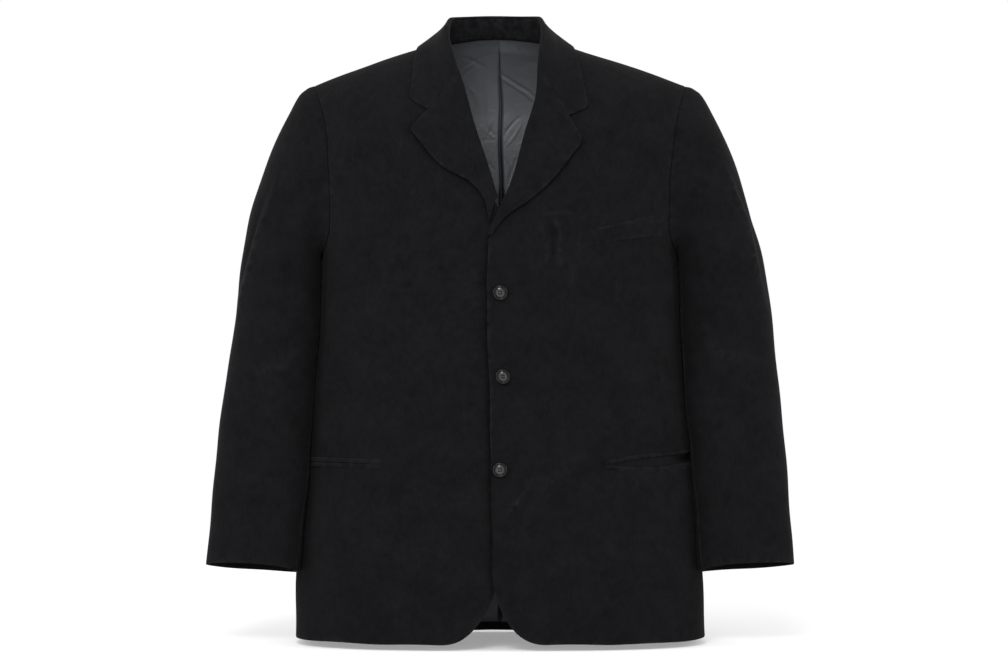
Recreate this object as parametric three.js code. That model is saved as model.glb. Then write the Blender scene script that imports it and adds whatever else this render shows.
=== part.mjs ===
// A single-breasted three-button suit jacket, hollow as if worn, with the sleeves hanging.
// Millimetres, +Z up. The front faces -Y and the wearer's left side is at +X.
// The origin is midway between the inner ends of the shoulder seams, where the neck comes through.
import * as THREE from "three";

// Driving dimensions
const shoulderHalf = 243; // centre to the sleeve seam at the top of the shoulder
const shoulderDrop = 58; // fall of the shoulder seam from neck to sleeve
const neckHalf = 83; // centre to the neck end of the shoulder seam
const hemLevel = -778;
const armpitLevel = -285;
const bodyWall = 2;
const sleeveWall = 1.6;
const liningWall = 1;
const collarWall = 1.8;
const seamGap = 0.3; // every seam keeps this between its two pieces
const bodyCorner = 2.6; // superellipse power of the body's section, 2 being an ellipse
const frontRound = { neck: 210, sleeve: 120 }; // height over which the chest rounds up to the seam
const backRound = { neck: 130, sleeve: 100 }; // the same over the shoulder blades
const napeDepth = 70; // how far behind the origin the back neckline runs
const breakLevel = -262; // where the lapels start to turn
const neckShift = -7; // the collar sits this far to the wearer's right
const shiftFade = { fromX: 95, overX: 130, fromZ: -90, overZ: 110 }; // where that shift dies out
const armholeEase = 1.7; // crowds the panel's rows towards the underarm
const armpitRound = 45; // height over which the armhole turns in under the arm

// Half-width and depth of the body, one row for each level
const bodySections = [
  { z: -790, half: 269, front: 112, back: 118 },
  { z: -690, half: 266.5, front: 110, back: 116 },
  { z: -560, half: 253.5, front: 109, back: 110 },
  { z: -440, half: 242, front: 111, back: 106 },
  { z: -340, half: 235, front: 117, back: 110 },
  { z: -280, half: 234, front: 122, back: 115 },
  { z: -200, half: 244, front: 123, back: 120 },
  { z: -100, half: 262, front: 120, back: 121 },
  { z: 40, half: 272, front: 118, back: 118 },
];

// Where front and back meet: the shoulder seam outward of the neck, and its run on over the neck
const ridgeLine = [
  { x: 0, z: 41 },
  { x: 20, z: 40 },
  { x: 40, z: 35.5 },
  { x: 60, z: 24.5 },
  { x: 72, z: 12 },
  { x: 83, z: 0 },
  { x: 95, z: -4.5 },
  { x: 106, z: -8 },
  { x: 150, z: -21 },
  { x: 196, z: -38 },
  { x: 249, z: -58 },
];

// Distance of the armhole seam from the centre line
const armholeSeam = [
  { z: -300, front: 218, back: 222 },
  { z: -202, front: 219, back: 221 },
  { z: -144, front: 222, back: 224 },
  { z: -98, front: 230, back: 231 },
  { z: -58, front: 243, back: 243 },
];

// The two fronts, in their own outward x: the left one laps over the right one
const fronts = {
  left: {
    side: 1,
    hemLap: 10.5,
    sweep: 72,
    rise: 100,
    curl: 2.2,
    gorge: -50,
    lap: [
      { z: -790, x: 10.5 },
      { z: -668, x: 10.5 },
      { z: -555, x: 12.6 },
      { z: -389, x: 15.7 },
      { z: -262, x: 15 },
    ],
    roll: [
      { z: -262, x: -15 },
      { z: -243, x: -9 },
      { z: -215, x: 3 },
      { z: -194, x: 12 },
      { z: -123, x: 34 },
      { z: -70, x: 48 },
      { z: -33, x: 53 },
      { z: -20, x: 56 },
      { z: 10, x: 60 },
    ],
  },
  right: {
    side: -1,
    hemLap: 20,
    sweep: 99,
    rise: 268,
    curl: 2.6,
    gorge: -53,
    lap: [
      { z: -790, x: 20 },
      { z: -262, x: 20 },
    ],
    roll: [
      { z: -262, x: -20 },
      { z: -240, x: -11 },
      { z: -213, x: 2 },
      { z: -179, x: 12.5 },
      { z: -130, x: 27 },
      { z: -82, x: 41 },
      { z: -53, x: 48 },
      { z: -33, x: 53 },
      { z: -20, x: 56 },
      { z: 10, x: 60 },
    ],
  },
};
const panelBehindRoll = 5; // the front panel stops this far short of the lapel's fold
const overlapLift = bodyWall + 0.7; // how far the left front stands out where it laps
const lapTop = -205; // the fronts no longer lap above this
const lapFade = { fromX: 25, overX: 50, overZ: 60 }; // where the lifted lap settles to the body
const rollStart = 60; // height over which the panel's edge draws back from the fold

// Lapels, from the lower end of the fold to the gorge seam: fold levels and outer edge
const lapels = {
  left: [
    { t: 0, foldZ: -256, x: -9, z: -256 },
    { t: 0.15, foldZ: -236, x: 6, z: -233 },
    { t: 0.4, foldZ: -196, x: 38, z: -210 },
    { t: 0.7, foldZ: -128, x: 68, z: -183 },
    { t: 1, foldZ: -50, x: 107, z: -136 },
  ],
  right: [
    { t: 0, foldZ: -209, x: 14, z: -239 },
    { t: 0.15, foldZ: -192, x: 19, z: -214 },
    { t: 0.4, foldZ: -160, x: 36, z: -190 },
    { t: 0.7, foldZ: -112, x: 77, z: -165 },
    { t: 1, foldZ: -53, x: 114.5, z: -121 },
  ],
};
const collarPoints = {
  left: { x: 113, z: -92 },
  right: { x: 115, z: -81 },
};
const notchShare = 0.63; // where the notch falls along the lapel's top edge
const foldRadius = 3.4; // of the lapel at its roundest
const lowRadius = 1.3; // of a lapel's fold at its lower end
const restHeight = collarWall / 2 + 1; // of a turned-back leaf's middle over the cloth below
const leafEase = 1.3; // how soon a leaf drops from its fold to that height

// Collar from the nape (s 0) to the gorge (s 1): seam, fold, and outer edge as a drop from the ridge.
// Drops behind the ridge are negative. Ahead of the shoulder the seam is a share of the way to the gorge.
const collarLine = [
  { s: 0, seamX: 0, seamShare: 0, foldX: 0, foldY: 68, foldZ: 43.5, edgeX: 0, drop: -39, radius: 2.4 },
  { s: 0.2, seamX: 38, seamShare: 0, foldX: 34, foldY: 63, foldZ: 43, edgeX: 48, drop: -33, radius: 2.4 },
  { s: 0.4, seamX: 69, seamShare: 0, foldX: 58, foldY: 41, foldZ: 40, edgeX: 84, drop: -8, radius: 2.4 },
  { s: 0.58, seamX: 83, seamShare: 0, foldX: 61, foldY: 9, foldZ: 28, edgeX: 99, drop: 0, radius: 2.6 },
  { s: 0.72, seamX: 83, seamShare: 0.25, foldX: 60, foldY: -28, foldZ: 7, edgeX: 103, drop: 9, radius: 2.9 },
  { s: 0.86, seamX: 83, seamShare: 0.66, foldX: 54, foldY: -72, foldZ: -23, edgeX: 108, drop: 35, radius: 3.2 },
  { s: 1, seamX: 83, seamShare: 1, foldX: 49, foldY: -95, foldZ: -52, edgeX: 113, drop: 76, radius: 3.4 },
];
const collarLast = collarLine[collarLine.length - 1];
const standEnd = 0.84; // the stand runs this far from nape to gorge
const shoulderShare = 0.58; // the collar crosses the shoulder seam here
const standBase = 2.5; // gap between the stand's lower edge and the neckline
const collarRise = 1.4; // how much higher the collar's leaf stands by its fold
const collarBow = 0.42; // how far the leaf bows out below its fold, as a share of its length
// Shares at which the collar starts to join the lapel's fold, to lie flat on the front, and to take
// up the notch, and over how much of the way each comes in
const joinRoll = { from: 0.78, over: 0.19 };
const lieFlat = { from: 0.68, over: 0.24 };
const notchCut = { from: 0.72, over: 0.28 };
const longTail = { from: 0.86, over: 0.08 };

// Sleeve rings: outer and inner ends, half the depth, centre in Y, and how far the left elbow stands out
const sleeveRings = [
  { outX: 243, outZ: -56, inX: 234, inZ: -285, half: 70, midY: 3, elbow: 0 },
  { outX: 260, outZ: -64, inX: 235.5, inZ: -286, half: 71, midY: 3, elbow: 0 },
  { outX: 281, outZ: -98, inX: 233, inZ: -291, half: 72, midY: 3, elbow: 0 },
  { outX: 301, outZ: -144, inX: 231, inZ: -300, half: 73, midY: 3, elbow: 1 },
  { outX: 317, outZ: -190, inX: 230.5, inZ: -315, half: 72, midY: 3, elbow: 2 },
  { outX: 330, outZ: -236, inX: 231, inZ: -336, half: 70, midY: 2, elbow: 3 },
  { outX: 340, outZ: -286, inX: 231, inZ: -365, half: 67, midY: 0, elbow: 6 },
  { outX: 346, outZ: -342, inX: 233, inZ: -404, half: 63, midY: -3, elbow: 9 },
  { outX: 353, outZ: -402, inX: 236, inZ: -450, half: 59, midY: -7, elbow: 8 },
  { outX: 362, outZ: -462, inX: 240, inZ: -499, half: 55, midY: -12, elbow: 5 },
  { outX: 369, outZ: -522, inX: 244, inZ: -549, half: 51, midY: -18, elbow: 3 },
  { outX: 374, outZ: -578, inX: 248.5, inZ: -596, half: 47, midY: -24, elbow: 2 },
  { outX: 378, outZ: -632, inX: 253, inZ: -644, half: 43, midY: -31, elbow: 1 },
  { outX: 382, outZ: -681, inX: 258, inZ: -691, half: 40, midY: -38, elbow: 1 },
];
const forearmPitch = 0.13; // how far the front of the cuff lifts, over the ring's depth
const pitchRows = { from: 5, over: 7 }; // rings over which that comes in
const sleeveCorner = 2.3;
const sleeveRest = 2; // where a sleeve hangs against the body, it follows it at this distance
const restBelow = { fromZ: -262, overZ: 22 }; // height over which it starts to, below the arm
const armholeGap = 1.7 * seamGap; // the sleeve's ring stands off the panels' edges by this
const capRows = 3.2; // rings over which the armhole's shape eases into the plain sleeve
const frontSeamRow = 2; // underarm row of the panels at which the sleeve's front seam starts
const hindSeamRow = 5;

// Buttons on the left front
const buttons = [
  { x: 1.5, z: -329 },
  { x: 3, z: -436 },
  { x: 0.5, z: -555 },
];
// Half of a button's section, from the middle of its underside round to the middle of its dished top
const buttonProfile = [
  { r: 6.5, h: 0 },
  { r: 8.9, h: 0.9 },
  { r: 9.4, h: 2 },
  { r: 9, h: 3.2 },
  { r: 8, h: 3.7 },
  { r: 6.9, h: 3.4 },
  { r: 5.9, h: 2.6 },
];
const buttonMiddle = 2.3;

// Hip pockets: a pair of jets each, with levels from the mouth's inner end (t 0) to its outer end
const hipPockets = {
  left: {
    inner: 135,
    outer: 246,
    levels: [
      { t: 0, top: -542.5, lip: -547.3, mouth: -548.4, foot: -553 },
      { t: 0.3, top: -536.5, lip: -541.5, mouth: -551.6, foot: -557.8 },
      { t: 0.55, top: -534, lip: -538.5, mouth: -552.5, foot: -558.9 },
      { t: 0.75, top: -532.5, lip: -536.5, mouth: -549.5, foot: -557.5 },
      { t: 1, top: -531, lip: -535, mouth: -547.8, foot: -555 },
    ],
  },
  right: {
    inner: 150,
    outer: 246,
    levels: [
      { t: 0, top: -541.5, lip: -547.2, mouth: -548.2, foot: -553.5 },
      { t: 1, top: -541.5, lip: -547.2, mouth: -548.2, foot: -553.5 },
    ],
  },
};
const chestWelt = [
  { t: 0, lowX: 97, lowZ: -276, highX: 100, highZ: -253 },
  { t: 0.45, lowX: 148, lowZ: -262, highX: 149, highZ: -240 },
  { t: 1, lowX: 209, lowZ: -255, highX: 206, highZ: -228 },
];
const patchWall = 1.4; // of what is sewn on to the fronts
const patchRest = 0.6; // height of its underside

const liningHemRise = 12; // the lining stops this far above the hem
const pleatStep = 3; // depth of the lining's centre pleat
const pleatReach = 3; // distance over which it steps
const pleatWidth = 70; // distance over which it dies out again
const liningReach = 0.965; // share of each back panel that the lining covers
const liningTop = 1.98; // its upper edge, where the hem is 0 and the shoulder seam 2
const liningGap = 1;
const bladeSlack = { height: 1.2, fromZ: -120, overZ: 60 }; // further gap over the shoulder blades
const nearSteps = 60; // places tried in finding the nearest point of the body
const nearReach = 140; // height below the ridge over which they lie

// Small numbers for smooth interpolation
const mix = (a, b, t) => a + (b - a) * t;
const clamp01 = (t) => Math.min(1, Math.max(0, t));
const smooth = (t) => clamp01(t) ** 2 * (3 - 2 * clamp01(t));
const comingIn = (s, { from, over }) => smooth((s - from) / over);
const signedPower = (v, p) => Math.sign(v) * Math.abs(v) ** p;
const radians = (degrees) => (degrees * Math.PI) / 180;

// Value of one column of a table at a key, by a cubic through the rows that doesn't overshoot.
function lookUp(table, key, column, at) {
  const last = table.length - 1;
  const rising = table[last][key] > table[0][key];
  let i = 0;
  while (i < last - 1 && (rising ? at > table[i + 1][key] : at < table[i + 1][key])) i += 1;
  const slope = (k) => (table[k + 1][column] - table[k][column]) / (table[k + 1][key] - table[k][key]);
  const tangent = (k) => {
    if (k === 0) return slope(0);
    if (k === last) return slope(last - 1);
    const [before, after] = [slope(k - 1), slope(k)];
    return before * after <= 0 ? 0 : (2 * before * after) / (before + after);
  };
  const width = table[i + 1][key] - table[i][key];
  const t = (at - table[i][key]) / width;
  if (t < 0) return table[i][column] + tangent(i) * (at - table[i][key]);
  if (t > 1) return table[i + 1][column] + tangent(i + 1) * (at - table[i + 1][key]);
  const rise = table[i + 1][column] - table[i][column];
  const [t2, t3] = [t * t, t * t * t];
  const bend = tangent(i) * (t3 - 2 * t2 + t) + tangent(i + 1) * (t3 - t2);
  return table[i][column] + rise * (3 * t2 - 2 * t3) + width * bend;
}

// Share of the way round a quarter of the body's section, measured along the cloth
const arcSteps = 400;
const arcShares = [0];
for (let i = 1; i <= arcSteps; i += 1) {
  const corner = (k) => {
    const turn = (k / arcSteps) * (Math.PI / 2);
    const power = 2 / bodyCorner;
    return [2 * Math.sin(turn) ** power, Math.max(0, Math.cos(turn)) ** power];
  };
  const [a, b] = [corner(i - 1), corner(i)];
  arcShares.push(arcShares[i - 1] + Math.hypot(b[0] - a[0], b[1] - a[1]));
}
const arcTotal = arcShares[arcSteps];

function turnAtShare(share) {
  const wanted = Math.min(Math.abs(share), 1) * arcTotal;
  let [low, high] = [0, arcSteps];
  while (high - low > 1) {
    const middle = (low + high) >> 1;
    if (arcShares[middle] > wanted) high = middle;
    else low = middle;
  }
  const within = (wanted - arcShares[low]) / (arcShares[high] - arcShares[low]);
  return Math.sign(share) * ((low + within) / arcSteps) * (Math.PI / 2);
}

function shareAtX(x, z) {
  const half = lookUp(bodySections, "z", "half", z);
  const turn = Math.asin(clamp01(Math.abs(x) / half) ** (bodyCorner / 2));
  const place = (turn / (Math.PI / 2)) * arcSteps;
  const low = Math.min(Math.floor(place), arcSteps - 1);
  return (Math.sign(x) * mix(arcShares[low], arcShares[low + 1], place - low)) / arcTotal;
}

const ridge = (x) => lookUp(ridgeLine, "x", "z", Math.abs(x));

// Height over which the front or back rounds up to the ridge.
function roundHeight(face, x) {
  const round = face === "front" ? frontRound : backRound;
  return mix(round.neck, round.sleeve, smooth(Math.abs(x) / shoulderHalf));
}

// Point of the body's outer surface at a share of the way from centre to side, on the front or back.
function bodyPoint(face, share, x, z) {
  const turn = turnAtShare(share);
  const depth = lookUp(bodySections, "z", face, z) * Math.max(0, Math.cos(turn)) ** (2 / bodyCorner);
  const t = clamp01((ridge(x) - z) / roundHeight(face, x));
  const y = depth * Math.sqrt(Math.max(0, 1 - (1 - t) ** 2));
  return new THREE.Vector3(x, face === "front" ? -y : y, z);
}

const halfAt = (share, z) =>
  lookUp(bodySections, "z", "half", z) * signedPower(Math.sin(turnAtShare(share)), 2 / bodyCorner);

// The armhole's share of the way round at a level, with its turn under the arm.
function armholeShare(face, z) {
  const straight = shareAtX(lookUp(armholeSeam, "z", face, z), z);
  const under = clamp01((armpitLevel + armpitRound - z) / armpitRound);
  return mix(straight, 1, 1 - Math.sqrt(1 - under * under));
}

// Levels of the upper half of a panel: w 0 is the underarm row and w 1 the top.
const upperLevels = (w) => ({
  inner: mix(armpitLevel, 0, w),
  outer: mix(armpitLevel, -shoulderDrop, Math.max(0, w) ** armholeEase),
});

// A front panel: u 0 is the front edge, u 1 the side seam and armhole; v 0 the hem, 1 the underarm,
// 2 the shoulder seam. The result is in the panel's own outward x.
function frontSurface(front, u, v) {
  if (v <= 1) {
    const level = mix(hemLevel, armpitLevel, v);
    const share = mix(shareAtX(-lookUp(front.lap, "z", "x", level), level), 1, u);
    const along = clamp01(1 - (halfAt(share, hemLevel) + front.hemLap) / front.sweep);
    const hem = hemLevel + front.rise * (1 - Math.sqrt(1 - along ** front.curl));
    const z = mix(hem, armpitLevel, v);
    return bodyPoint("front", share, halfAt(share, z), z);
  }
  const w = v - 1;
  const { inner, outer } = upperLevels(w);
  const share = mix(shareAtX(panelEdge(front, inner), inner), armholeShare("front", outer), u);
  const x = halfAt(share, mix(inner, outer, u));
  const topShare = mix(shareAtX(neckHalf, 0), armholeShare("front", -shoulderDrop), u);
  const top = ridge(halfAt(topShare, mix(0, -shoulderDrop, u)));
  const z = mix(armpitLevel, top, mix(w, Math.max(0, w) ** armholeEase, u));
  return bodyPoint("front", share, x, z);
}

// Edge of a front at a level: straight to the break, then just behind the fold, then the neckline.
function panelEdge(front, z) {
  if (z <= breakLevel) return -lookUp(front.lap, "z", "x", z);
  const behind = panelBehindRoll * smooth((z - breakLevel) / rollStart);
  if (z <= front.gorge) return lookUp(front.roll, "z", "x", z) + behind;
  const share = Math.sqrt(Math.max(0, z / front.gorge));
  return mix(neckHalf, lookUp(front.roll, "z", "x", front.gorge) + behind, share ** 1.2);
}

// How far the back neckline falls below the ridge at a distance from the centre.
function neckFall(x, share) {
  const away = Math.abs(x) / neckHalf;
  if (away >= 1) return 0;
  const depth = lookUp(bodySections, "z", "back", 0) * Math.cos(turnAtShare(share)) ** (2 / bodyCorner);
  const reach = Math.min(1, (napeDepth * Math.sqrt(1 - away ** 3)) / depth);
  return roundHeight("back", x) * (1 - Math.sqrt(1 - reach * reach));
}

// A back panel, in the same way: u 0 is the centre back seam.
function backSurface(u, v) {
  if (v <= 1) {
    const z = mix(hemLevel, armpitLevel, v);
    return bodyPoint("back", u, halfAt(u, z), z);
  }
  const w = v - 1;
  const { inner, outer } = upperLevels(w);
  const share = mix(0, armholeShare("back", outer), u);
  const x = halfAt(share, mix(inner, outer, u));
  const topShare = mix(0, armholeShare("back", -shoulderDrop), u);
  const topX = halfAt(topShare, mix(0, -shoulderDrop, u));
  const top = ridge(topX) - neckFall(topX, topShare);
  const z = mix(armpitLevel, top, mix(w, Math.max(0, w) ** armholeEase, u));
  return bodyPoint("back", share, x, z);
}

// The whole collar and the cloth by it sit a little to one side; every piece passes through here.
function settle(p) {
  const near = 1 - smooth((Math.abs(p.x) - shiftFade.fromX) / shiftFade.overX);
  const high = smooth((p.z - shiftFade.fromZ) / shiftFade.overZ);
  return new THREE.Vector3(p.x + neckShift * near * high, p.y, p.z);
}

// Outward normal of a surface function, by central differences.
function normalOf(surface, u, v, outward) {
  const e = 1e-3;
  const across = surface(u + e, v).sub(surface(u - e, v));
  const along = surface(u, v + e).sub(surface(u, v - e));
  return across.cross(along).normalize().multiplyScalar(outward);
}

// Turns a closed grid of triangles into a mesh, faces pointing out.
function solidMesh(name, points, triangles, material) {
  const geometry = new THREE.BufferGeometry();
  const positions = new Float32Array(points.flatMap((p) => p.toArray()));
  geometry.setAttribute("position", new THREE.BufferAttribute(positions, 3));
  geometry.setIndex(triangles.flat());
  let volume = 0;
  const [a, b, c] = [new THREE.Vector3(), new THREE.Vector3(), new THREE.Vector3()];
  for (const [i, j, k] of triangles) {
    volume += a.copy(points[i]).dot(b.copy(points[j]).cross(c.copy(points[k])));
  }
  if (volume < 0) geometry.setIndex(triangles.flatMap(([i, j, k]) => [i, k, j]));
  geometry.computeVertexNormals();
  const mesh = new THREE.Mesh(geometry, material);
  mesh.name = name;
  return mesh;
}

// Cloth between two matching grids of points, closed round its edge.
function clothBetween(name, outer, inner, material) {
  const rows = outer.length;
  const columns = outer[0].length;
  const points = [...outer.flat(), ...inner.flat()].map(settle);
  const skin = rows * columns;
  const at = (layer, i, j) => layer * skin + i * columns + j;
  const triangles = [];
  const face = (a, b, c, d) => triangles.push([a, b, c], [a, c, d]);
  for (let i = 0; i < rows - 1; i += 1) {
    for (let j = 0; j < columns - 1; j += 1) {
      face(at(0, i, j), at(0, i, j + 1), at(0, i + 1, j + 1), at(0, i + 1, j));
      face(at(1, i, j), at(1, i + 1, j), at(1, i + 1, j + 1), at(1, i, j + 1));
    }
    face(at(0, i, 0), at(0, i + 1, 0), at(1, i + 1, 0), at(1, i, 0));
    const end = columns - 1;
    face(at(0, i, end), at(1, i, end), at(1, i + 1, end), at(0, i + 1, end));
  }
  for (let j = 0; j < columns - 1; j += 1) {
    face(at(0, 0, j), at(1, 0, j), at(1, 0, j + 1), at(0, 0, j + 1));
    const end = rows - 1;
    face(at(0, end, j), at(0, end, j + 1), at(1, end, j + 1), at(1, end, j));
  }
  return solidMesh(name, points, triangles, material);
}

// A panel of cloth: a grid on a surface function, outer points at a lift and inner ones a wall below.
function panel(name, surface, us, vs, wall, material, options = {}) {
  const { outward = 1, lift = () => 0, tidy = (p) => p, square = (n) => n } = options;
  const grid = vs.map((v) =>
    us.map((u) => {
      const p = tidy(surface(u, v), u, v);
      const n = square(normalOf(surface, u, v, outward), p);
      return { p, n, out: lift(u, v, p) };
    }),
  );
  const layer = (down) =>
    grid.map((row) => row.map(({ p, n, out }) => p.clone().addScaledVector(n, out - down)));
  return clothBetween(name, layer(0), layer(wall), material);
}

const steps = (count, from = 0, to = 1) =>
  Array.from({ length: count + 1 }, (_, i) => mix(from, to, i / count));

const cloth = new THREE.MeshStandardMaterial({ color: 0x1d1d1f, roughness: 0.92, metalness: 0 });
const satin = new THREE.MeshStandardMaterial({ color: 0x3f4144, roughness: 0.45, metalness: 0 });
const horn = new THREE.MeshStandardMaterial({ color: 0x141415, roughness: 0.25, metalness: 0 });

const jacket = new THREE.Group();

// Seams in the planes X 0 and Y 0 keep their wall in that plane, so both pieces meet squarely.
function squareToSeams(n, p) {
  if (Math.abs(p.y) < 1) n.y = 0;
  if (Math.abs(p.x) < 1 && p.y > 0) n.x = 0;
  return n.normalize();
}

// Rows of a body panel: even below the arm, and closer at the underarm and over the shoulder.
const lowerRows = steps(7);
const upperShares = [0.08, 0.17, 0.27, 0.38, 0.5, 0.62, 0.73, 0.83, 0.91, 0.96, 0.99, 1];
const bodyRows = [...lowerRows, ...upperShares.map((w) => 1 + w)];

const mirrored = (surface, side) => (u, v) => {
  const p = surface(u, v);
  return p.setX(p.x * side);
};

// How far the left front stands off the body where it laps over the right one.
function lapLift(side, x, z) {
  if (side < 0) return 0;
  const across = 1 - smooth((x - lapFade.fromX) / lapFade.overX);
  return overlapLift * across * (1 - smooth((z - lapTop) / lapFade.overZ));
}

function frontPanel(key) {
  const front = fronts[key];
  const surface = (u, v) => frontSurface(front, u, v);
  const columns = [0, 0.02, 0.05, 0.09, 0.145, 0.21, 0.3, 0.4, 0.5, 0.6, 0.7, 0.79, 0.87, 0.94, 1];
  jacket.add(
    panel(`front_${key}`, mirrored(surface, front.side), columns, bodyRows, bodyWall, cloth, {
      outward: front.side,
      lift: (u, v, p) => lapLift(front.side, p.x * front.side, p.z),
      tidy: (p) => p.setY(Math.min(p.y, -seamGap / 2)),
      square: squareToSeams,
    }),
  );
}

const neckColumn = shareAtX(neckHalf, 0) / armholeShare("back", -shoulderDrop);
const neckShares = [0, 0.25, 0.5, 0.7, 0.84, 0.93, 1];
const backColumns = [...neckShares.map((u) => u * neckColumn), ...steps(8, neckColumn, 1).slice(1)];

function backPanel(key, side) {
  const tidy = (p) => {
    p.setY(Math.max(p.y, seamGap / 2));
    return Math.abs(p.x) < 1 ? p.setX((side * seamGap) / 2) : p;
  };
  jacket.add(
    panel(`back_${key}`, mirrored(backSurface, side), backColumns, bodyRows, bodyWall, cloth, {
      outward: -side,
      tidy,
      square: squareToSeams,
    }),
  );
}

// The lining of the back, one piece with a pleat down its centre.
function backLining() {
  const surface = (u, v) => {
    const p = backSurface(Math.abs(u), v);
    return p.setX(Math.sign(u) * p.x);
  };
  const half = [0.012, ...backColumns.filter((_, k) => k > 0 && k % 2 === 0)];
  half[half.length - 1] = liningReach;
  const columns = [...half.map((u) => -u).reverse(), ...half];
  const bottom = liningHemRise / (armpitLevel - hemLevel);
  const rows = [bottom, ...bodyRows.slice(1, -4), liningTop];
  const pleat = (p) => pleatStep * smooth(p.x / pleatReach + 0.5) * (1 - smooth(p.x / pleatWidth));
  const slack = (p) => bladeSlack.height * smooth((p.z - bladeSlack.fromZ) / bladeSlack.overZ);
  jacket.add(
    panel("lining_back", surface, columns, rows, liningWall, satin, {
      outward: -1,
      lift: (u, v, p) => -bodyWall - liningGap - slack(p) - pleat(p),
    }),
  );
}

// The armhole's edge on one side of the body: point, outward normal, and direction away from the panel.
function armholeEdge(onFront, w) {
  const surface = (u, v) => (onFront ? frontSurface(fronts.left, u, v) : backSurface(u, v));
  const e = 1e-3;
  const v = Math.min(1 + w, 2 - 2 * e);
  const p = surface(1, 1 + w);
  const across = surface(1, v).sub(surface(1 - 5 * e, v));
  const along = surface(1, v + e).sub(surface(1, v - e));
  const n = across.clone().cross(along).multiplyScalar(onFront ? 1 : -1);
  along.normalize();
  const away = across.addScaledVector(along, -across.dot(along));
  if (w < e || w > 1 - e) {
    n.y = 0;
    away.y = 0;
    p.y = 0;
  }
  return { p, n: n.normalize(), away: away.normalize() };
}

// Columns round a sleeve, matched to the panels' rows: turn 0 is the top and 180 the underarm.
const turnAt = (w) => (Math.acos(2 * w ** armholeEase - 1) * 180) / Math.PI;
const armholeColumns = [
  ...[...upperShares].reverse().map((w) => ({ onFront: true, w, turn: turnAt(w) })),
  { onFront: true, w: 0, turn: 180 },
  ...upperShares.map((w) => ({ onFront: false, w, turn: 360 - turnAt(w) })),
];

// Plain ring of a sleeve at a place down it (row number, whole or between) and a turn in degrees.
const ringTable = sleeveRings.map((ring, row) => ({ ...ring, row }));
function sleeveRing(side, row, turn) {
  const get = (column) => lookUp(ringTable, "row", column, row);
  const out = new THREE.Vector3(get("outX") + (side > 0 ? get("elbow") : 0), 0, get("outZ"));
  const inside = new THREE.Vector3(get("inX"), 0, get("inZ"));
  const middle = out.clone().add(inside).multiplyScalar(0.5);
  const reach = out.clone().sub(inside).multiplyScalar(0.5);
  const power = 2 / sleeveCorner;
  const c = signedPower(Math.cos(radians(turn)), power);
  const s = signedPower(Math.sin(radians(turn)), power);
  const pitch = forearmPitch * comingIn(row, pitchRows) * get("half") * s;
  return middle.addScaledVector(reach, c).add(new THREE.Vector3(0, get("midY") - get("half") * s, pitch));
}

// How far out the body's side stands at a depth and a level below the arm.
function sideOfBody(y, z) {
  const depth = lookUp(bodySections, "z", y < 0 ? "front" : "back", z);
  const inside = 1 - Math.min(1, Math.abs(y) / depth) ** bodyCorner;
  return lookUp(bodySections, "z", "half", z) * inside ** (1 / bodyCorner);
}

// A sleeve's surface at one of its columns: row 0 is the armhole seam and the last row the cuff.
function sleevePoint(side, row, column) {
  const ring = sleeveRing(side, row, column.turn);
  const fade = 1 - smooth(row / capRows);
  if (fade > 0) {
    const { p, away } = armholeEdge(column.onFront, column.w);
    const seam = p.addScaledVector(away, armholeGap);
    ring.addScaledVector(seam.sub(sleeveRing(side, 0, column.turn)), fade);
  }
  const sunk = Math.max(0, sideOfBody(ring.y, ring.z) + sleeveRest * smooth(row) - ring.x);
  return ring.setX(ring.x + sunk * smooth((restBelow.fromZ - ring.z) / restBelow.overZ));
}

// A sleeve in its two pieces, each a run of columns. The edges stand back from the seams, along the ring.
function sleeve(key, side) {
  const rows = [0, 0.35, 0.8, 1.4, 2, 3, 4, 5, 6, 7, 8, 9, 10, 11, 12, 13];
  const round = armholeColumns.length - 1;
  const grid = rows.map((row) => armholeColumns.map((column) => sleevePoint(side, row, column)));
  const inward = grid.map((ring, i) =>
    ring.map((_, j) => {
      const { onFront, w } = armholeColumns[j];
      if (i === 0) return armholeEdge(onFront, w).n.negate();
      const across = ring[(j + 1) % round].clone().sub(ring[(j - 1 + round) % round]);
      const down = grid[Math.min(i + 1, rows.length - 1)][j].clone().sub(grid[i - 1][j]);
      return down.cross(across).normalize();
    }),
  );
  const piece = (name, picked) => {
    const layer = (depth) =>
      grid.map((ring, i) => {
        const edge = picked.map((j) => ring[j].clone());
        const last = edge.length - 1;
        const nudge = (k, towards) => edge[towards].clone().sub(edge[k]).setLength(0.6 * seamGap);
        const [first, final] = [nudge(0, 1), nudge(last, last - 1)];
        edge[0].add(first);
        edge[last].add(final);
        const deep = edge.map((p, k) => p.addScaledVector(inward[i][picked[k]], depth));
        return deep.map((p) => p.setX(p.x * side));
      });
    jacket.add(clothBetween(name, layer(0), layer(sleeveWall), cloth));
  };
  const run = (from, to) => Array.from({ length: to - from + 1 }, (_, k) => (from + k) % round);
  const frontSeam = upperShares.length - frontSeamRow;
  const hindSeam = upperShares.length + hindSeamRow;
  piece(`sleeve_top_${key}`, run(hindSeam, round + frontSeam));
  piece(`sleeve_under_${key}`, run(frontSeam, hindSeam));
}

// Normals of a grid of points, each from its neighbours.
function gridNormals(grid) {
  const rows = grid.length;
  const columns = grid[0].length;
  return grid.map((row, i) =>
    row.map((_, j) => {
      const across = grid[i][Math.min(j + 1, columns - 1)].clone().sub(grid[i][Math.max(j - 1, 0)]);
      const along = grid[Math.min(i + 1, rows - 1)][j].clone().sub(grid[Math.max(i - 1, 0)][j]);
      return across.cross(along).normalize();
    }),
  );
}

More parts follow.
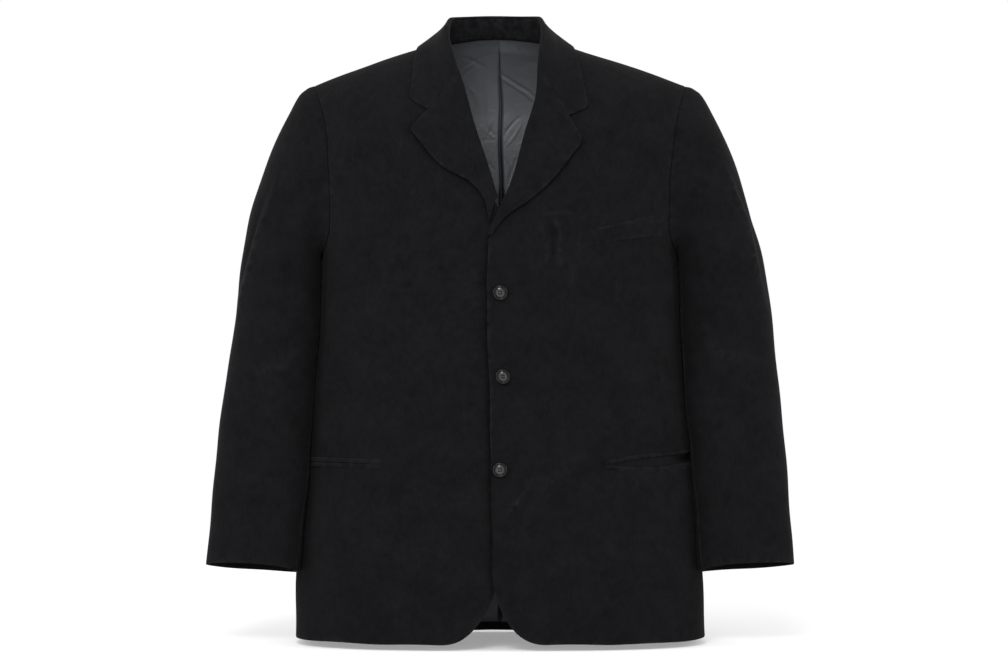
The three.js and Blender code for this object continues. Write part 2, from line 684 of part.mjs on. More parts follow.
// Cloth of a given wall about a grid of points that runs down its middle.
function clothAbout(name, grid, wall, material) {
  const normals = gridNormals(grid);
  const layer = (out) =>
    grid.map((row, i) => row.map((p, j) => p.clone().addScaledVector(normals[i][j], out)));
  return clothBetween(name, layer(wall / 2), layer(-wall / 2), material);
}

// Point and outward normal of the front at its own x and a level.
function frontAt(x, z) {
  const at = (a, b) => bodyPoint("front", shareAtX(a, b), a, b);
  const across = at(x + 0.5, z).sub(at(x - 0.5, z));
  const along = at(x, z + 0.5).sub(at(x, z - 0.5));
  return { p: at(x, z), n: across.cross(along).normalize() };
}

const backAt = (x, z) => {
  const at = (a, b) => bodyPoint("back", shareAtX(a, b), a, b);
  const across = at(x + 0.5, z).sub(at(x - 0.5, z));
  const along = at(x, z + 0.5).sub(at(x, z - 0.5));
  return { p: at(x, z), n: along.cross(across).normalize() };
};

// Point at a height over the front, with the lap of the left one.
function overFront(side, x, z, height) {
  const { p, n } = frontAt(x, z);
  return p.addScaledVector(n, height + lapLift(side, x, z));
}

// Section of cloth that turns over a fold and lies down along a leaf. It starts a tail's length behind.
function foldOver({ heel, into, out, radius, tail, leaf }) {
  const section = [heel.clone().addScaledVector(out, -radius).addScaledVector(into, -tail)];
  for (const turn of [0, 45, 90, 135, 180]) {
    const arc = heel.clone().addScaledVector(out, -radius * Math.cos(radians(turn)));
    section.push(arc.addScaledVector(into, radius * Math.sin(radians(turn))));
  }
  for (const t of [0.25, 0.5, 0.75, 1]) section.push(leaf(t));
  return section;
}

// Height of a turned-back leaf's middle over the front, from its fold to its edge.
const leafHeight = (radius, t) => mix(2 * radius - bodyWall / 2, restHeight, t ** leafEase);

// A lapel: the front's facing, turned back over the fold.
function lapel(key) {
  const front = fronts[key];
  const table = lapels[key];
  const grid = [0, 0.05, 0.1, 0.16, 0.23, 0.31, 0.4, 0.5, 0.6, 0.7, 0.8, 0.9, 1].map((t) => {
    const foldZ = lookUp(table, "t", "foldZ", t);
    const edge = { x: lookUp(table, "t", "x", t), z: lookUp(table, "t", "z", t) };
    const radius = mix(lowRadius, foldRadius, smooth(mix(0.25, 1, t / 0.35)));
    const { fold, into, out } = rollFrame(front, foldZ, radius);
    const behind = (panelEdge(front, foldZ) - lookUp(front.roll, "z", "x", foldZ)) * Math.abs(into.x);
    const nose = Math.max(0, radius + 3.4 * seamGap - behind);
    const heel = fold.clone().addScaledVector(into, nose - radius);
    const leaf = (q) => {
      const [x, z] = [mix(heel.x, edge.x, q), mix(heel.z, edge.z, q)];
      return overFront(front.side, x, z, leafHeight(radius, q));
    };
    const tail = Math.max(0.1, behind + nose - radius - 3 * seamGap);
    return foldOver({ heel, into, out, radius, tail, leaf }).map((p) => p.setX(p.x * front.side));
  });
  jacket.add(clothAbout(`lapel_${key}`, grid, collarWall, cloth));
}

// Fold of a lapel at a level, with the directions into the opening and out from the body.
function rollFrame(front, z, radius) {
  const foldX = (level) => lookUp(front.roll, "z", "x", level);
  const at = (level) => overFront(front.side, foldX(level), level, 0);
  const along = at(z + 1).sub(at(z - 1));
  const out = frontAt(foldX(z), z).n;
  const into = out.clone().cross(along).normalize();
  return { fold: overFront(front.side, foldX(z), z, radius - bodyWall / 2), into, out };
}

// Where one side of the collar runs at a share from nape to gorge: fold, seam and edge.
const onRoll = (s) => comingIn(s, joinRoll);
function collarPlace(key, s) {
  const front = fronts[key];
  const point = collarPoints[key];
  const get = (column) => lookUp(collarLine, "s", column, s);
  const radius = get("radius");
  const ahead = smooth((s - shoulderShare) / (1 - shoulderShare));
  const foldZ = get("foldZ") + (front.gorge - collarLast.foldZ) * ahead;
  const fold = new THREE.Vector3(get("foldX"), get("foldY"), foldZ);
  if (onRoll(s) > 0) fold.lerp(rollFrame(front, foldZ, radius).fold, onRoll(s));
  const behind = s <= shoulderShare;
  const seamZ = front.gorge * get("seamShare") ** 2;
  const seamX = behind ? get("seamX") : panelEdge(front, seamZ);
  const neckline = ridge(seamX) - neckFall(seamX, shareAtX(seamX, 0));
  const { p, n } = behind ? backAt(seamX, Math.min(neckline, ridge(seamX) - 0.01)) : frontAt(seamX, seamZ);
  const seam = p.addScaledVector(n, (behind ? 0 : lapLift(front.side, seamX, seamZ)) - bodyWall / 2);
  const edgeX = get("edgeX") + (point.x - collarLast.edgeX) * ahead;
  const share = clamp01(get("drop") / collarLast.drop);
  const drop = get("drop") + (ridge(point.x) - point.z - collarLast.drop) * share;
  const edgeZ = ridge(edgeX) - Math.abs(drop);
  const lie = drop < 0 ? backAt(edgeX, edgeZ) : frontAt(edgeX, edgeZ);
  const edge = lie.p.addScaledVector(lie.n, restHeight + 0.6 * (1 - ahead));
  return { fold, seam, edge, edgeX, edgeZ, foldZ, radius };
}

// Moves a point out from the body until it stands at least a height off it.
function clearOfBody(side, p, height) {
  const onFront = p.y < 0;
  const at = onFront ? frontAt : backAt;
  const top = ridge(p.x);
  let nearest = null;
  for (let i = 0; i <= nearSteps; i += 1) {
    const place = at(p.x, top - 0.01 - nearReach * (i / nearSteps) ** 2);
    const distance = place.p.distanceTo(p);
    if (!nearest || distance < nearest.distance) nearest = { ...place, distance };
  }
  const wanted = height + (onFront ? lapLift(side, p.x, p.z) : 0);
  const now = p.clone().sub(nearest.p).dot(nearest.n);
  return now < wanted ? p.addScaledVector(nearest.n, wanted - now) : p;
}

// Frame of the collar's fold: towards the fold from the seam, and out from the neck.
function collarFrame(key, s) {
  const place = collarPlace(key, s);
  const e = 0.01;
  const [before, after] = [collarPlace(key, Math.max(0, s - e)), collarPlace(key, Math.min(1, s + e))];
  const along = after.fold.clone().sub(before.fold).normalize();
  if (s === 0) along.set(1, 0, 0);
  const rise = place.fold.clone().sub(place.seam);
  const into = rise.addScaledVector(along, -rise.dot(along)).normalize();
  if (onRoll(s) > 0) {
    into.lerp(rollFrame(fronts[key], place.foldZ, place.radius).into, onRoll(s));
    into.addScaledVector(along, -into.dot(along)).normalize();
  }
  const out = into.clone().cross(along).normalize();
  const height = place.fold.clone().sub(place.seam).dot(into);
  const heel = place.fold.clone().addScaledVector(into, -place.radius);
  return { ...place, along, into, out, height, heel };
}

// Tail of the collar's fall behind its fold; past the stand it reaches down to the front's edge.
function fallTail(frame, s) {
  const reach = frame.height - frame.radius - 7 * seamGap;
  return mix(2 * seamGap, Math.max(seamGap, reach), comingIn(s, longTail));
}

function collarFallSection(key, s) {
  const frame = collarFrame(key, s);
  const { heel, into, out, radius, edge, along } = frame;
  const front = fronts[key];
  const point = collarPoints[key];
  const tip = lapels[key][lapels[key].length - 1];
  const notch = { x: mix(heel.x, tip.x, notchShare), z: mix(heel.z, tip.z, notchShare) };
  const flat = comingIn(s, lieFlat);
  const cut = clamp01((s - notchCut.from) / notchCut.over) ** 2;
  const start = heel.clone().addScaledVector(out, radius);
  const control = start.clone().addScaledVector(into, -collarBow * start.distanceTo(edge));
  const leaf = (t) => {
    const free = start.clone().multiplyScalar((1 - t) ** 2);
    free.addScaledVector(control, 2 * t * (1 - t)).addScaledVector(edge, t * t);
    const inner = t < notchShare;
    const part = inner ? t / notchShare : (t - notchShare) / (1 - notchShare);
    const bent = (a, b, c) => (inner ? mix(a, b, part) : mix(b, c, part));
    const x = mix(mix(heel.x, frame.edgeX, t), bent(heel.x, notch.x, point.x), cut);
    const z = mix(mix(heel.z, frame.edgeZ, t), bent(heel.z, notch.z, point.z), cut);
    if (flat > 0) free.lerp(overFront(front.side, x, z, leafHeight(radius, t)), flat);
    return clearOfBody(front.side, free, restHeight + collarRise * (1 - t));
  };
  const back = s === 1 ? -2.4 * seamGap : 0;
  const section = foldOver({ heel, into, out, radius, tail: fallTail(frame, s), leaf });
  return section.map((p) => p.addScaledVector(along, back)).map((p) => p.setX(p.x * front.side));
}

function collarStandSection(key, s) {
  const frame = collarFrame(key, s);
  const top = frame.heel.clone().addScaledVector(frame.out, -frame.radius);
  top.addScaledVector(frame.into, -fallTail(frame, Math.min(s, standEnd)) - 6 * seamGap);
  const base = frame.seam.clone().addScaledVector(frame.into, standBase);
  return [0, 0.5, 1].map((t) => {
    const p = base.clone().lerp(top, t);
    return p.setX(p.x * fronts[key].side);
  });
}

function collar() {
  const shares = [0.1, 0.2, 0.3, 0.4, 0.49, 0.58, 0.65, 0.72, 0.78, standEnd];
  const across = (list, section) => [
    ...[...list].reverse().map((s) => section("right", s)),
    section("left", 0),
    ...list.map((s) => section("left", s)),
  ];
  const fall = across([...shares, 0.87, 0.9, 0.93, 0.97, 1], collarFallSection);
  jacket.add(clothAbout("collar_fall", fall, collarWall, cloth));
  const stand = across(shares, collarStandSection);
  jacket.add(clothAbout("collar_stand", stand, collarWall, cloth));
}

// Cloth lying on a front: rows of points (x, z) at a share along and a share up.
function patch(name, side, along, place) {
  const layer = (height) =>
    [0, 1].map((up) =>
      along.map((t) => {
        const [x, z] = place(t, up);
        const p = overFront(side, x, z, height);
        return p.setX(p.x * side);
      }),
    );
  jacket.add(clothBetween(name, layer(patchRest + patchWall), layer(patchRest), cloth));
}

function hipPocket(key) {
  const { inner, outer, levels } = hipPockets[key];
  for (const [part, high, low] of [["upper", "top", "lip"], ["lower", "mouth", "foot"]]) {
    patch(`pocket_jet_${part}_${key}`, fronts[key].side, steps(11), (t, up) => {
      const z = lookUp(levels, "t", up ? high : low, t);
      return [halfAt(mix(shareAtX(inner, z), shareAtX(outer, z), t), z), z];
    });
  }
}

function button(place, number) {
  const segments = 20;
  const { p, n } = frontAt(place.x, place.z);
  const centre = p.addScaledVector(n, overlapLift + patchRest);
  const across = new THREE.Vector3(1, 0, 0).addScaledVector(n, -n.x).normalize();
  const up = n.clone().cross(across);
  const points = [centre.clone(), centre.clone().addScaledVector(n, buttonMiddle)];
  for (const { r, h } of buttonProfile) {
    for (let k = 0; k < segments; k += 1) {
      const turn = (2 * Math.PI * k) / segments;
      const rim = centre.clone().addScaledVector(n, h).addScaledVector(across, r * Math.cos(turn));
      points.push(rim.addScaledVector(up, r * Math.sin(turn)));
    }
  }
  const at = (ring, k) => 2 + ring * segments + (k % segments);
  const last = buttonProfile.length - 1;
  const triangles = [];
  for (let k = 0; k < segments; k += 1) {
    triangles.push([0, at(0, k + 1), at(0, k)], [1, at(last, k), at(last, k + 1)]);
    for (let ring = 0; ring < last; ring += 1) {
      triangles.push([at(ring, k), at(ring, k + 1), at(ring + 1, k + 1)]);
      triangles.push([at(ring, k), at(ring + 1, k + 1), at(ring + 1, k)]);
    }
  }
  jacket.add(solidMesh(`button_${number}`, points, triangles, horn));
}

frontPanel("left");
frontPanel("right");
backPanel("left", 1);
backPanel("right", -1);
backLining();
sleeve("left", 1);
sleeve("right", -1);
lapel("left");
lapel("right");
collar();
hipPocket("left");
hipPocket("right");
patch("chest_welt", 1, steps(9), (t, up) => [
  lookUp(chestWelt, "t", up ? "highX" : "lowX", t),
  lookUp(chestWelt, "t", up ? "highZ" : "lowZ", t),
]);
buttons.forEach((place, i) => button(place, i + 1));

export default jacket;
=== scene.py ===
"""A worn, hollow suit jacket: fine cloth over its frame, lining, pockets, buttons, stitching and stage.

Shapes are worked out in millimetres, in the frame's own axes, and made into meshes in metres.
"""

import math

import bmesh
import bpy
import numpy as np
from bpy.props import BoolProperty, FloatProperty, FloatVectorProperty, IntProperty, PointerProperty
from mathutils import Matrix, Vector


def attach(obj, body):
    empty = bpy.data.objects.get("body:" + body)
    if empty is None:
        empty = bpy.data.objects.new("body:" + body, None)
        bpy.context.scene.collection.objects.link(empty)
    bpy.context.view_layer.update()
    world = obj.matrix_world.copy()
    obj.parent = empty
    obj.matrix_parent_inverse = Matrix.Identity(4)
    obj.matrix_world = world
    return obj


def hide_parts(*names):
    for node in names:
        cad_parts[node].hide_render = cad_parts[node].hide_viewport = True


bl_info = {
    "name": "Suit jacket",
    "version": (1, 0, 0),
    "blender": (4, 5, 0),
    "location": "View3D > Sidebar > Jacket",
    "description": "Builds a hollow worn suit jacket with its cloth, lining, buttons, stitching and stage",
    "category": "Object",
}

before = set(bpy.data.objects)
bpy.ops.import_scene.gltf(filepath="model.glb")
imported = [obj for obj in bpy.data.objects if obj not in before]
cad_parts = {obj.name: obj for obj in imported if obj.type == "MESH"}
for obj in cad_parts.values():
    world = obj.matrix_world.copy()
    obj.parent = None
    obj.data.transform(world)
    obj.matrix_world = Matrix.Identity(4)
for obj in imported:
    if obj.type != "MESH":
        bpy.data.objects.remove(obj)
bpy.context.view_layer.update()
MM = 0.001

# Sizes of the cut, in millimetres, and powers, shares and turns in degrees that shape it
SHOULDER_HALF = 243
SHOULDER_DROP = 58  # from the neck to the shoulder's end
NECK_HALF = 83
HEM = -778
ARMPIT = -285
WALL = 2.0
SLEEVE_WALL = 1.6
LINING_WALL = 1.0
COLLAR_WALL = 1.8
GAP = 0.02  # clearance that keeps faces apart
SEAM_LAP = 0.15  # how far a piece reaches past its seam
BACK_DROP = 6  # how much lower the back hangs at its middle
CORNER = 2.6  # power of the body's section
FRONT_ROUND = (210, 120)  # height of the rounding up to the ridge, at the centre and the shoulder
BACK_ROUND = (130, 100)
NAPE_DEPTH = 70  # how far back the neckline lies at the nape
BREAK = -262  # level where the lapels start to turn back
NECK_SHIFT = -7  # how far aside the collar sits
EASE = 1.7  # power that holds a panel's rows down at the armhole
ARMPIT_ROUND = 45  # height over which the armhole rounds into the side
BEHIND_ROLL = 5  # how far a front reaches past its lapel's fold
LAP_LIFT = WALL + 0.7  # height of the left front where it laps over the right one
LAP_TOP = -205  # level above which that height dies away
NOTCH_SHARE = 0.63  # place of the notch, from the fold to the lapel's tip
FOLD_RADIUS = 3.4  # radius of the lapel's fold
LOW_RADIUS = 1.3  # the same at the fold's foot
TIP_ROUND = {"left": 2.6, "right": 1.4}
REST = COLLAR_WALL / 2 + 1  # height of a turned-back edge
STAND_END = 0.84  # share of the collar's run at which its stand ends
STAND_RUBBED = 0.9
SHOULDER_SHARE = 0.58  # share of the collar's run at the shoulder seam
SLEEVE_CORNER = 2.3  # power of the sleeve's section
CAP_ROWS = 3.2  # rows of the table over which the armhole's form becomes the sleeve's
SLEEVE_REST = 2  # how far a sleeve stands off the body's side
FRONT_SEAM_TURN = 154.4
HIND_SEAM_TURN = 247.4
CUFF_ARCH = 4.2
PANEL_CREASE = 1.9  # strength of the creases in the tables
SLEEVE_CREASE = 1.6
EDGE_LIFT = 1.7  # how far the left front's edge curls outwards
MOUTH_DEPTH = 1.6
MOUTH_GAPE = 4  # how much deeper a hip pocket's mouth is at its outer end
PLEAT_DEPTH = 3.2
GROOVE_DEPTH = 6.2
PATCH_WALL = 1.4
COLLAR_TIP_ROUND = 1.5
HOLE_REACH = 2.1  # from a button's centre to each of its holes
HOLE_HALF = 0.75
HOLE_DEPTH = 1.7
BUTTONHOLE_HALF = 0.975


# Small numbers


def lerp(a, b, t):
    return a + (b - a) * t


def smooth(t):
    t = np.clip(t, 0, 1)
    return t * t * (3 - 2 * t)


def bell(distance, width):
    return np.exp(-((distance / width) ** 2))


def unit(v):
    return v / np.maximum(np.linalg.norm(v, axis=-1, keepdims=True), 1e-12)


def dot(a, b):
    return (a * b).sum(-1, keepdims=True)


def column(values):
    return np.asarray(values, float)[..., None]


def point(x, y, z):
    return np.stack(np.broadcast_arrays(*(np.asarray(a, float) for a in (x, y, z))), -1)


def curve(keys, values):
    """A cubic through rows of a table that doesn't overshoot, straight beyond its ends."""
    xs, ys = np.array(keys, float), np.array(values, float)
    slope = np.diff(ys) / np.diff(xs)
    before, after = slope[:-1], slope[1:]
    total = np.where(before * after > 0, before + after, 1)
    inner = np.where(before * after > 0, 2 * before * after / total, 0)
    tangent = np.concatenate([slope[:1], inner, slope[-1:]])

    def at(x):
        x = np.asarray(x, float)
        i = np.clip(np.searchsorted(xs, x, side="right") - 1, 0, len(xs) - 2)
        width = xs[i + 1] - xs[i]
        t = (x - xs[i]) / width
        c = np.clip(t, 0, 1)
        bend = tangent[i] * (c**3 - 2 * c**2 + c) + tangent[i + 1] * (c**3 - c**2)
        inside = ys[i] + (ys[i + 1] - ys[i]) * (3 * c**2 - 2 * c**3) + width * bend
        return inside + width * (tangent[i] * np.minimum(t, 0) + tangent[i + 1] * np.maximum(t - 1, 0))

    return at


def curves(key, **columns):
    """A curve for each named column of a table."""
    return {name: curve(key, values) for name, values in columns.items()}


# The body's form

BODY = curves(
    (-790, -690, -560, -440, -340, -280, -200, -100, 40),
    half=(269, 266.5, 253.5, 242, 235, 234, 244, 262, 272),
    front=(112, 110, 109, 111, 117, 122, 123, 120, 118),
    back=(118, 116, 110, 106, 110, 115, 120, 121, 118),
)
RIDGE = curve(
    (0, 20, 40, 60, 72, 83, 95, 106, 150, 196, 249),
    (41, 40, 35.5, 24.5, 12, 0, -4.5, -8, -21, -38, -58),
)
ARMHOLE = curves((-300, -202, -144, -98, -58), front=(218, 219, 222, 230, 243), back=(222, 221, 224, 231, 243))
FRONTS = {
    "left": {
        "side": 1,
        "hem_lap": 10.5,
        "sweep": 72,
        "rise": 100,
        "curl": 2.2,
        "gorge": -50,
        "lap": curve((-790, -668, -555, -389, -262), (10.5, 10.5, 12.6, 15.7, 15)),
        "roll": curve((-262, -243, -215, -194, -123, -70, -33, -20, 10), (-15, -9, 3, 12, 34, 48, 53, 56, 60)),
        "point": (113, -92),
    },
    "right": {
        "side": -1,
        "hem_lap": 20,
        "sweep": 99,
        "rise": 268,
        "curl": 2.6,
        "gorge": -53,
        "lap": curve((-790, -262), (20, 20)),
        "roll": curve(
            (-262, -240, -213, -179, -130, -82, -53, -33, -20, 10), (-20, -11, 2, 12.5, 27, 41, 48, 53, 56, 60)
        ),
        "point": (115, -81),
    },
}
LAPELS = {
    "left": curves(
        (0, 0.15, 0.4, 0.7, 1),
        fold=(-256, -236, -196, -128, -50),
        x=(-12.5, 6, 38, 68, 107),
        z=(-257, -233, -210, -183, -136),
    ),
    "right": curves(
        (0, 0.15, 0.4, 0.7, 1),
        fold=(-209, -192, -160, -112, -53),
        x=(14, 19, 36, 77, 114.5),
        z=(-239, -214, -190, -165, -121),
    ),
}
COLLAR = curves(
    (0, 0.2, 0.4, 0.58, 0.72, 0.86, 1),
    seam_x=(0, 38, 69, 83, 83, 83, 83),
    seam_share=(0, 0, 0, 0, 0.25, 0.66, 1),
    fold_x=(0, 34, 58, 61, 60, 54, 49),
    fold_y=(68, 63, 41, 9, -28, -72, -95),
    fold_z=(43.5, 43, 40, 28, 7, -23, -52),
    edge_x=(0, 48, 84, 99, 103, 108, 113),
    drop=(-39, -33, -8, 0, 9, 35, 76),
    radius=(2.4, 2.4, 2.4, 2.6, 2.9, 3.2, 3.4),
)
COLLAR_LAST = {"fold_z": -52, "edge_x": 113, "drop": 76}
SLEEVE = curves(
    range(14),
    out_x=(243, 260, 281, 301, 317, 330, 340, 346, 353, 362, 369, 374, 378, 382),
    out_z=(-56, -64, -98, -144, -190, -236, -286, -342, -402, -462, -522, -578, -632, -681),
    in_x=(234, 235.5, 233, 231, 230.5, 231, 231, 233, 236, 240, 244, 248.5, 253, 258),
    in_z=(-285, -286, -291, -300, -315, -336, -365, -404, -450, -499, -549, -596, -644, -691),
    half=(70, 71, 72, 73, 72, 70, 67, 63, 59, 55, 51, 47, 43, 40),
    mid_y=(3, 3, 3, 3, 3, 2, 0, -3, -7, -12, -18, -24, -31, -38),
    elbow=(0, 0, 0, 1, 2, 3, 6, 9, 8, 5, 3, 2, 1, 1),
)
HIP_POCKETS = {
    "left": {
        "reach": (135, 246),
        "levels": curves(
            (0, 0.3, 0.55, 0.75, 1),
            top=(-542.5, -536.5, -534, -532.5, -531),
            lip=(-547.3, -541.5, -538.5, -536.5, -535),
            mouth=(-548.4, -551.6, -552.5, -549.5, -547.8),
            foot=(-553, -557.8, -558.9, -557.5, -555),
        ),
    },
    "right": {
        "reach": (150, 246),
        "levels": curves((0, 1), top=[-541.5] * 2, lip=[-547.2] * 2, mouth=[-548.2] * 2, foot=[-553.5] * 2),
    },
}
WELT = curves(
    (0, 0.45, 1), low_x=(97, 148, 209), low_z=(-276, -262, -255), high_x=(100, 149, 206), high_z=(-253, -240, -228)
)
BUTTONS = ((1.5, -329), (3, -436), (0.5, -555))

# Turns round a quarter of the body, and the share of its girth up to each
TURNS = np.linspace(0, math.pi / 2, 401)
QUARTER = [2 * np.sin(TURNS) ** (2 / CORNER), np.cos(TURNS).clip(0) ** (2 / CORNER)]
ARC = np.concatenate([[0], np.cumsum(np.hypot(*np.diff(QUARTER)))])
ARC = ARC / ARC[-1]


def turn_at(share):
    """The turn round the body at a share of the way from its centre to its side."""
    return np.sign(share) * np.interp(np.abs(share).clip(0, 1), ARC, TURNS)


def share_at_x(x, z):
    """The share of the way from centre to side at an x and a level."""
    turn = np.arcsin(np.clip(np.abs(x) / BODY["half"](z), 0, 1) ** (CORNER / 2))
    return np.sign(x) * np.interp(turn, TURNS, ARC)


def half_at(share, z):
    """The x at a share of the way and a level."""
    s = np.sin(turn_at(share))
    return BODY["half"](z) * np.sign(s) * np.abs(s) ** (2 / CORNER)


def ridge(x):
    """Level of the ridge of the shoulders."""
    return RIDGE(np.abs(x))


def round_height(back, x):
    """Height over which the front or back rounds over to the ridge."""
    t = smooth(np.abs(x) / SHOULDER_HALF)
    return np.where(back, lerp(*BACK_ROUND, t), lerp(*FRONT_ROUND, t))


def body_point(back, share, x, z):
    """Point of the body's outer surface, at a share of the way from centre to side."""
    depth = np.where(back, BODY["back"](z), BODY["front"](z)) * np.cos(turn_at(share)).clip(0) ** (2 / CORNER)
    t = np.clip((ridge(x) - z) / round_height(back, x), 0, 1)
    y = depth * np.sqrt((1 - (1 - t) ** 2).clip(0))
    return point(x, np.where(back, y, -y), z)


def body_at(back, x, z):
    """Point and outward normal of the front or back at an x and a level."""

    def at(a, b):
        return body_point(back, share_at_x(a, b), a, b)

    n = np.cross(at(x + 0.5, z) - at(x - 0.5, z), at(x, z + 0.5) - at(x, z - 0.5))
    return at(x, z), unit(n * np.where(column(back), -1, 1))


def armhole_share(back, z):
    """How far out the armhole's edge runs at a level, rounding into the side under the arm."""
    straight = share_at_x(ARMHOLE["back" if back else "front"](z), z)
    under = np.clip((ARMPIT + ARMPIT_ROUND - z) / ARMPIT_ROUND, 0, 1)
    return lerp(straight, 1, 1 - np.sqrt(1 - under**2))


def panel_edge(front, z):
    """The x of a front's inner edge: its lap, then behind the lapel's fold, then the neckline."""
    behind = BEHIND_ROLL * smooth((z - BREAK) / 60)
    share = np.sqrt((z / front["gorge"]).clip(0))
    neckline = lerp(NECK_HALF, front["roll"](front["gorge"]) + behind, share**1.2)
    above = np.where(z <= front["gorge"], front["roll"](z) + behind, neckline)
    return np.where(z <= BREAK, -front["lap"](z), above)


def neck_fall(x, share):
    """How far the back's neckline dips below the ridge of the shoulders."""
    away = np.clip(np.abs(x) / NECK_HALF, 0, 1)
    depth = BODY["back"](0) * np.cos(turn_at(share)).clip(0.01) ** (2 / CORNER)
    reach = np.clip(NAPE_DEPTH * np.sqrt(1 - away**3) / depth, 0, 1)
    return round_height(True, x) * (1 - np.sqrt(1 - reach**2))


def upper(back, u, w, inner_share, top_inner, fall):
    """The part of a panel above the underarm, w 0 there and w 1 at the shoulder seam."""
    raised = w.clip(0) ** EASE
    inner, outer = lerp(ARMPIT, 0, w), lerp(ARMPIT, -SHOULDER_DROP, raised)
    share = lerp(inner_share(inner), armhole_share(back, outer), u)
    x = half_at(share, lerp(inner, outer, u))
    top_share = lerp(top_inner, armhole_share(back, np.float64(-SHOULDER_DROP)), u)
    top_x = half_at(top_share, lerp(0, -SHOULDER_DROP, u))
    top = ridge(top_x) - (neck_fall(top_x, top_share) if fall else 0)
    return body_point(back, share, x, lerp(ARMPIT, top, lerp(w, raised, u)))


def front_surface(front, u, v):
    """A front panel: u 0 is its front edge and 1 its side; v 0 the hem, 1 the underarm, 2 the shoulder."""
    level = lerp(HEM, ARMPIT, v)
    share = lerp(share_at_x(-front["lap"](level), level), 1, u)
    along = np.clip(1 - (half_at(share, HEM) + front["hem_lap"]) / front["sweep"], 0, 1)
    z = lerp(HEM + front["rise"] * (1 - np.sqrt(1 - along ** front["curl"])), ARMPIT, v)
    lower = body_point(False, share, half_at(share, z), z)
    top_inner = share_at_x(NECK_HALF, 0)
    above = upper(False, u, v - 1, lambda inner: share_at_x(panel_edge(front, inner), inner), top_inner, False)
    return np.where(column(v <= 1), lower, above)


def side_of_body(y, z):
    """How far out the body's side stands at a depth and a level below the arm."""
    depth = np.where(y < 0, BODY["front"](z), BODY["back"](z))
    return BODY["half"](z) * (1 - np.minimum(1, np.abs(y) / depth) ** CORNER) ** (1 / CORNER)


def back_surface(u, v):
    """A back panel, in the same way: u 0 is the centre back seam."""
    z = lerp(HEM, ARMPIT, v)
    lower = body_point(True, u, half_at(u, z), z)
    return np.where(column(v <= 1), lower, upper(True, u, v - 1, lambda inner: 0, 0, True))


def hang(p):
    """The back hangs a little lower at its middle than at its sides."""
    x, z = p[..., 0], p[..., 2]
    drop = BACK_DROP * smooth((-560 - z) / 220) * (1 - (x / 270) ** 2).clip(0)
    return point(x, p[..., 1], z - drop)


def settle(p):
    """The collar and the cloth by it sit a little to one side, and nothing runs quite straight."""
    x, y, z = p[..., 0], p[..., 1], p[..., 2]
    near = 1 - smooth((np.abs(x) - 95) / 130)
    aside = NECK_SHIFT * near * smooth((z + 90) / 110)
    waver_x = 0.8 * np.sin(z / 37 + 1.3) * np.cos(x / 83) + 0.45 * np.sin(z / 15 + x / 55 + 0.4)
    waver_y = 0.5 * np.sin(x / 53 + z / 71)
    waver_z = 0.8 * np.sin(x / 41 + 0.7) * np.cos(y / 90) + 0.45 * np.sin(x / 16 + 2.1)
    return point(x + aside + waver_x, y + waver_y, z + waver_z)


def lap_lift(side, x, z):
    """How far the left front stands off the body where it laps over the right one."""
    if side < 0:
        return 0 * x
    return LAP_LIFT * (1 - smooth((x - 25) / 50)) * (1 - smooth((z - LAP_TOP) / 60))


def over_front(side, x, z, height):
    """Points at a height over a front."""
    p, n = body_at(False, x, z)
    return p + n * column(height + lap_lift(side, x, z))


# Folds and creases, each the x and z of every bend of its path on the cloth, then its width and its height or depth

FRONT_CREASES = (
    (40, -566, 27, -590, 12, -612, 3.5, 1.3),
    (48, -578, 34, -600, 20, -628, 5, -0.9),
    (34, -600, 80, -560, 132, -506, 9, 1.1),
    (60, -612, 104, -570, 150, -520, 10, -0.8),
    (150, -590, 180, -603, 206, -625, 7, -1.1),
    (128, -566, 168, -572, 214, -590, 9, 0.8),
    (57, -231, 70, -236, 77, -254, 74, -280, 80, -300, 2.6, 1.3),
    (49, -238, 58, -262, 62, -300, 3.5, 0.9),
    (64, -242, 68, -262, 66, -292, 2.6, -0.9),
    (56, -229, 78, -228, 98, -230, 2.4, 0.9),
    (62, -222, 84, -221, 106, -226, 3, -0.7),
    (84, -286, 96, -300, 90, -322, 4, 0.7),
    (176, -240, 205, -236, 222, -230, 4, 0.8),
    (112, -282, 160, -268, 212, -262, 6, -0.8),
    (12, -290, 40, -330, 58, -392, 14, -0.9),
    (20, -446, 60, -462, 120, -500, 12, -0.7),
    (30, -700, 90, -672, 150, -668, 16, 1.1),
    (60, -735, 130, -712, 214, -716, 18, -1.1),
    (186, -330, 206, -392, 216, -470, 12, 1),
    (-40, -262, -70, -300, -88, -372, 15, -1.1),
    (-24, -282, -34, -330, -36, -380, 9, 0.8),
    (-120, -250, -150, -330, -152, -420, 20, 1.2),
    (-188, -300, -206, -372, -214, -460, 11, -1),
    (-18, -575, -60, -600, -118, -606, 10, 0.7),
    (-150, -572, -172, -600, -180, -650, 12, -0.9),
    (-38, -690, -92, -664, -150, -672, 14, 1),
    (-60, -728, -140, -708, -226, -716, 17, -1.1),
    (-150, -150, -190, -172, -214, -210, 10, -0.8),
    (150, -138, 192, -160, 214, -196, 9, -0.8),
)
